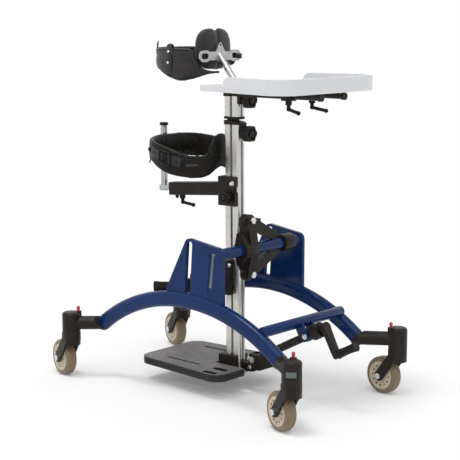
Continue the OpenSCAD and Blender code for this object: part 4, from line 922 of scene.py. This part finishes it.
def knob_cap(name, node, body, way, radius):
    """A domed plug in the middle of a knob's face."""
    low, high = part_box(node)
    out = Vector(way)
    start = (low + high) / 2 + out * KNOB_AWAY_M
    place = tree_of(body).ray_cast(start, -out, 2 * KNOB_AWAY_M)[0]
    ring = [(wide * radius, up) for wide, up in KNOB_RING]
    cap = joined(turned(ring, place, out), turned(dome(radius, KNOB_DOME), place, out))
    new_piece(name, cap, black_metal, body)


knob_cap("collar_knob_cap", "collar_knob", "collar_turner", (0, -1, 0), 6)
knob_cap("tray_knob_cap", "tray_knob", "tray_turner", (0, -1, 0), 6)
knob_cap("hip_knob_cap", "hip_knob", "hip_turner", (-1, 0, 0), 4.5)


def long_axis(node):
    """Middle of a round node, its longest way towards the front, and each point's place along that."""
    points = np.array([v.co for v in nodes[node].data.vertices])
    middle = points.mean(0)
    way = Vector(np.linalg.svd(points - middle, full_matrices=False)[2][0])
    if way.y > 0:
        way = -way
    reach = (points - middle) @ np.array(way)
    return Vector(middle), way, reach


GRIP_CAP = ((6.2, -1.2), (6.2, 0.4), (5.4, 1.5), (3.4, 2.2), (0.3, 2.5))
grip_middle, grip_way, grip_reach = long_axis("crank_grip")
grip_end = grip_middle + grip_way * float(grip_reach.max())
new_piece("grip_end_cap", turned(GRIP_CAP, grip_end, grip_way), silver, "grip")

POST_TOP_BAND, POST_CAP_STEPS = 2, 32
post_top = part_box("hip_post")[1].z
post_points = [v.co for v in nodes["hip_post"].data.vertices if v.co.z > post_top - POST_TOP_BAND * MM]
post_middle = sum(post_points, Vector()) / len(post_points)
post_radius = max((p - post_middle).xy.length for p in post_points) / MM
post_middle.z = post_top
post_cap = [(post_radius + 0.5, -5.5), (post_radius + 0.8, -5.0), (post_radius + 0.8, -0.6),
            (post_radius + 0.2, 0.4), (0.6 * post_radius, 0.9), (0.3, 1.0)]
new_piece("hip_post_cap", turned(post_cap, post_middle, UP, POST_CAP_STEPS), black_plastic, "hip_back")


# Hub faces: a dished cream disc with a ring of holes on each side of each wheel

FACE_IN, FACE_OUT, FACE_RING, FACE_HOLE, FACE_HOLES = 9.4, 29.8, 21.8, 2.7, 12
FACE_RIM, FACE_DISH, FACE_THICK, FACE_ARC_POINTS, FACE_SPOKE_POINTS = 12.3, 1.3, 1.2, 8, 6


def hub_face(place, axis):
    """Vertices and faces of one disc whose outer side looks along axis."""
    side = axis.orthogonal().normalized()
    other = axis.cross(side)

    def at(x, y, back):
        r = min(max(math.hypot(x, y), FACE_IN), FACE_OUT)
        height = FACE_RIM - FACE_DISH * (FACE_OUT - r) / (FACE_OUT - FACE_IN) - (FACE_THICK if back else 0)
        return place + (side * x + other * y + axis * height) * MM

    verts, faces = [], []
    step = 2 * math.pi / FACE_HOLES
    for k in range(FACE_HOLES):
        first, last = k * step, (k + 1) * step
        edge = [(FACE_OUT, a) for a in span(first, last, FACE_ARC_POINTS)]
        edge += [(r, last) for r in span(FACE_OUT, FACE_IN, FACE_SPOKE_POINTS)[1:-1]]
        edge += [(FACE_IN, a) for a in span(last, first, FACE_ARC_POINTS)]
        edge += [(r, first) for r in span(FACE_IN, FACE_OUT, FACE_SPOKE_POINTS)[1:-1]]
        border = [(r * math.cos(a), r * math.sin(a)) for r, a in edge]
        middle = (first + last) / 2
        hole_x, hole_y = FACE_RING * math.cos(middle), FACE_RING * math.sin(middle)
        hole = []
        for x, y in border:
            away = math.hypot(x - hole_x, y - hole_y)
            hole.append((hole_x + FACE_HOLE * (x - hole_x) / away, hole_y + FACE_HOLE * (y - hole_y) / away))
        start, count = len(verts), len(border)
        for back in (False, True):
            verts.extend(at(x, y, back) for x, y in border)
            verts.extend(at(x, y, back) for x, y in hole)
        for j in range(count):
            i = (j + 1) % count
            for sheet in (0, 2 * count):
                b = start + sheet
                faces.append((b + j, b + i, b + count + i, b + count + j))
            faces.append((start + count + j, start + count + i, start + 3 * count + i, start + 3 * count + j))
            if edge[j][0] == edge[i][0] and edge[j][0] in (FACE_IN, FACE_OUT):
                faces.append((start + j, start + i, start + 2 * count + i, start + 2 * count + j))
    return verts, faces


for joint in frame["record"]["behaviour"]["joints"]:
    if joint["name"].endswith("_roll"):
        place, axis = Vector(joint["pos_m"]), Vector(joint["axis"]).normalized()
        shape = joined(hub_face(place, axis), hub_face(place, -axis))
        new_piece(joint["name"].replace("_roll", "_hub_faces"), shape, cream, joint["child"])


# Nub under the hip arm

NUB_BELOW = (0, 157, 380)
NUB = ((4.2, -0.5), (4.2, 3.0), (3.4, 6.5), (2.2, 8.0), (0.2, 8.6))
new_piece("hip_arm_nub", turned(NUB, seat("hip", NUB_BELOW, UP), -UP), black_plastic, "hip")


# Weld beads

RIPPLE, RIPPLE_EVERY = 0.16, 4
TUBE_WELD_R, TUBE_WELD_OUT, TUBE_WELD_OFF = 1.7, 0.6, 0.4
PLATE_WELD_R, PLATE_WELD_OFF, PLATE_WELD_REACH_M = 1.5, 0.6, 0.3
PLATE_WELD_FROM, PLATE_WELD_SHORT = 4, 16


def bead(name, path, radius_mm, closed):
    shape = tube(path, radius_mm, closed=closed, ripple=RIPPLE, ripple_every=RIPPLE_EVERY)
    new_piece(name, shape, blue, "base")


tube_low, tube_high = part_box("upper_cross_tube")
tube_middle = (tube_low + tube_high) / 2
tube_radius = (tube_high.z - tube_low.z) / 2 + TUBE_WELD_OUT * MM
for side, word in ((-1, "right"), (1, "left")):
    plate_low, plate_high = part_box(f"{word}_side_plate")
    inner_x, outer_x = (plate_high.x, plate_low.x) if side < 0 else (plate_low.x, plate_high.x)
    ring = [Vector((inner_x - side * TUBE_WELD_OFF * MM, tube_middle.y + tube_radius * math.cos(t),
                    tube_middle.z + tube_radius * math.sin(t))) for t in circle(60)]
    bead(f"{word}_tube_weld", ring, TUBE_WELD_R, True)
    arch = tree_over(nodes[f"{word}_arch_tube"])
    off = side * PLATE_WELD_OFF * MM
    for face, x in (("inner", inner_x - off), ("outer", outer_x + off)):
        path = []
        for y in span(plate_low.y + PLATE_WELD_FROM * MM, plate_high.y - PLATE_WELD_SHORT * MM, 90):
            hit = arch.ray_cast(Vector((x, y, plate_high.z)), -UP, PLATE_WELD_REACH_M)[0]
            if hit:
                path.append(hit)
        bead(f"{word}_{face}_plate_weld", path, PLATE_WELD_R, False)


# Dark band round the lower end of the upper mast

END_UP, END_W, END_T, END_PROUD, END_AWAY_M = 2.5, 5.4, 1.0, 0.2, 0.1
end_low, end_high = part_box("upper_mast")
end_middle = (end_low + end_high) / 2
end_middle.z = end_low.z + END_UP * MM
end_tree = tree_over(nodes["upper_mast"])
end_path = []
for t in circle(120):
    out = Vector((math.cos(t), math.sin(t), 0))
    hit = end_tree.ray_cast(end_middle + out * END_AWAY_M, -out, END_AWAY_M)[0]
    end_path.append(hit + out * END_PROUD * MM)
end_band = ribbon(end_path, [UP] * len(end_path), END_W, END_T, True)
new_piece("upper_end_band", end_band, black_plastic, "upper")


# Scales on the side plates: a printed strip with plain ticks, no figures

SCALE_TOP, SCALE_LOW, SCALE_FROM_X, SCALE_REACH_M = (-73.2, 321), (-62.8, 248), 200, 0.2
STRIP_W, STRIP_T, STRIP_PROUD = 9, 0.5, 0.35
TICKS, LONG_EVERY, LONG_HALF, SHORT_HALF = 15, 5, 3.4, 2.0
TICK_W, TICK_T, TICK_PROUD = 1.1, 0.3, 0.75
for side, word in ((-1, "right"), (1, "left")):
    plate = tree_over(nodes[f"{word}_side_plate"])
    out = Vector((side, 0, 0))
    points = []
    for share in span(0, 1, 40):
        y = SCALE_TOP[0] + (SCALE_LOW[0] - SCALE_TOP[0]) * share
        z = SCALE_TOP[1] + (SCALE_LOW[1] - SCALE_TOP[1]) * share
        points.append(plate.ray_cast(mm(side * SCALE_FROM_X, y, z), -out, SCALE_REACH_M)[0])
    down = (points[-1] - points[0]).normalized()
    across = down.cross(out)
    path = [p + out * STRIP_PROUD * MM for p in points]
    strip = ribbon(path, [across] * len(path), STRIP_W, STRIP_T)
    new_piece(f"{word}_scale_strip", strip, label_grey, "base")
    parts = []
    for tick in range(TICKS):
        share = (tick + 0.5) / TICKS
        place = points[0].lerp(points[-1], share) + out * TICK_PROUD * MM
        half = across * (SHORT_HALF if tick % LONG_EVERY else LONG_HALF) * MM
        parts.append(ribbon([place - half, place, place + half], [down] * 3, TICK_W, TICK_T))
    new_piece(f"{word}_scale_ticks", joined(*parts), pale_marks, "base")


# A bare label plate on the front right caster housing

LABEL_MIDDLE, LABEL_WAY, LABEL_HALF, LABEL_H = mm(-179, -314, 125), 236, 30, 11
LABEL_T, LABEL_PROUD, LABEL_AWAY_M, LABEL_REACH_M = 0.7, 0.3, 0.08, 0.1


def label_point(turn):
    """The point just off the housing's face at a turn."""
    a = math.radians(turn)
    out = Vector((math.sin(a), math.cos(a), 0))
    hit = tree_of("base").ray_cast(LABEL_MIDDLE + out * LABEL_AWAY_M, -out, LABEL_REACH_M)[0]
    return hit + out * LABEL_PROUD * MM


label_path = [label_point(t) for t in span(LABEL_WAY - LABEL_HALF, LABEL_WAY + LABEL_HALF, 17)]
label = ribbon(label_path, [UP] * len(label_path), LABEL_H, LABEL_T)
new_piece("caster_label", label, label_grey, "base")


# Footplate edge bead

FOOT_AWAY_M, FOOT_LEAST_M, FOOT_BEAD_R, FOOT_BEAD_SIDES = 0.4, 0.05, 0.9, 6
foot_low, foot_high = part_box("footplate")
foot_middle = (foot_low + foot_high) / 2
foot_tree = tree_over(nodes["footplate"])
edge_path = []
for t in circle(180):
    out = Vector((math.cos(t), math.sin(t), 0))
    hit = foot_tree.ray_cast(foot_middle + out * FOOT_AWAY_M, -out, FOOT_AWAY_M)[0]
    if hit and (hit - foot_middle).length > FOOT_LEAST_M:
        edge_path.append(hit)
edge_bead = tube(edge_path, FOOT_BEAD_R, FOOT_BEAD_SIDES, True)
new_piece("footplate_edge_bead", edge_bead, black_plastic, "foot")


# Camera, light and floor, in metres

CAMERA_AT, AIM = (-2.1092, -1.8559, 0.8091), Vector((-0.0358, -0.0302, 0.3535))
SENSOR_MM, LENS_MM = 36, 104
SKY_LIGHT, SKY_SEEN = 0.6, 1.0
FLOOR_HALF, FADE_FROM, FADE_TO, FADE_LEAST = 6.0, 0.45, 1.0, 0.15
WHITE = (1, 1, 1, 1)


def aimed(obj, way):
    """Turns a camera or a light to look along way."""
    obj.rotation_mode = "QUATERNION"
    obj.rotation_quaternion = Vector(way).to_track_quat("-Z", "Y")


camera_data = bpy.data.cameras.new("camera")
camera = added("camera", camera_data)
camera.location = CAMERA_AT
camera_data.sensor_width = SENSOR_MM
camera_data.lens = LENS_MM
aimed(camera, AIM - camera.location)
bpy.context.scene.camera = camera


def sun(name, way, energy, spread):
    """A sun that shines along way, with soft shadows from its spread in degrees."""
    data = bpy.data.lights.new(name, "SUN")
    data.energy = energy
    data.angle = math.radians(spread)
    aimed(added(name, data), way)


sun("soft_key", (0.45, 0.42, -1.0), 0.9, 50)
sun("overhead", (0.24, -0.09, -0.96), 0.85, 16)


def seen_rays(tree):
    """1 for rays from the camera, mirrors and glass, 0 for rays that gather light."""
    path = tree.nodes.new("ShaderNodeLightPath")
    last = path.outputs["Is Camera Ray"]
    for ray in ("Is Glossy Ray", "Is Transmission Ray"):
        either = tree.nodes.new("ShaderNodeMath")
        either.operation = "MAXIMUM"
        tree.links.new(last, either.inputs[0])
        tree.links.new(path.outputs[ray], either.inputs[1])
        last = either.outputs[0]
    return last


world = bpy.data.worlds.new("studio")
world.use_nodes = True
bpy.context.scene.world = world
sky = world.node_tree
lit = sky.nodes["Background"]
lit.inputs["Color"].default_value = WHITE
lit.inputs["Strength"].default_value = SKY_LIGHT
seen = sky.nodes.new("ShaderNodeBackground")
seen.inputs["Color"].default_value = WHITE
seen.inputs["Strength"].default_value = SKY_SEEN
sky_mix = sky.nodes.new("ShaderNodeMixShader")
sky.links.new(seen_rays(sky), sky_mix.inputs[0])
sky.links.new(lit.outputs[0], sky_mix.inputs[1])
sky.links.new(seen.outputs[0], sky_mix.inputs[2])
sky.links.new(sky_mix.outputs[0], sky.nodes["World Output"].inputs["Surface"])

floor_mesh = bpy.data.meshes.new("floor")
floor_corners = [(x * FLOOR_HALF, y * FLOOR_HALF, 0) for x, y in ((-1, -1), (1, -1), (1, 1), (-1, 1))]
floor_mesh.from_pydata(floor_corners, [], [(0, 1, 2, 3)])
floor = added("floor", floor_mesh)
pale = Shader("floor_pale", (0.95, 0.95, 0.95), 0.9, Specular_IOR_Level=0.0)
pale.tint(pale.noise(3), (0.96, 0.96, 0.96))
# Away from the object the floor runs into the white backdrop
distance = pale.node("ShaderNodeVectorMath", operation="LENGTH")
pale.link(pale.where["Object"], distance.inputs[0])
backdrop = pale.node("ShaderNodeEmission")
backdrop.inputs["Color"].default_value = WHITE
fade = pale.node("ShaderNodeMath", operation="MULTIPLY")
pale.link(pale.ramp(distance.outputs["Value"], FADE_LEAST, 1.0, FADE_FROM, FADE_TO), fade.inputs[0])
pale.link(seen_rays(pale.tree), fade.inputs[1])
floor_mix = pale.node("ShaderNodeMixShader")
pale.link(fade.outputs[0], floor_mix.inputs[0])
pale.link(pale.bsdf.outputs[0], floor_mix.inputs[1])
pale.link(backdrop.outputs[0], floor_mix.inputs[2])
pale.link(floor_mix.outputs[0], pale.tree.nodes["Material Output"].inputs["Surface"])
dress(floor, pale)

bpy.context.scene.view_settings.view_transform = "Standard"
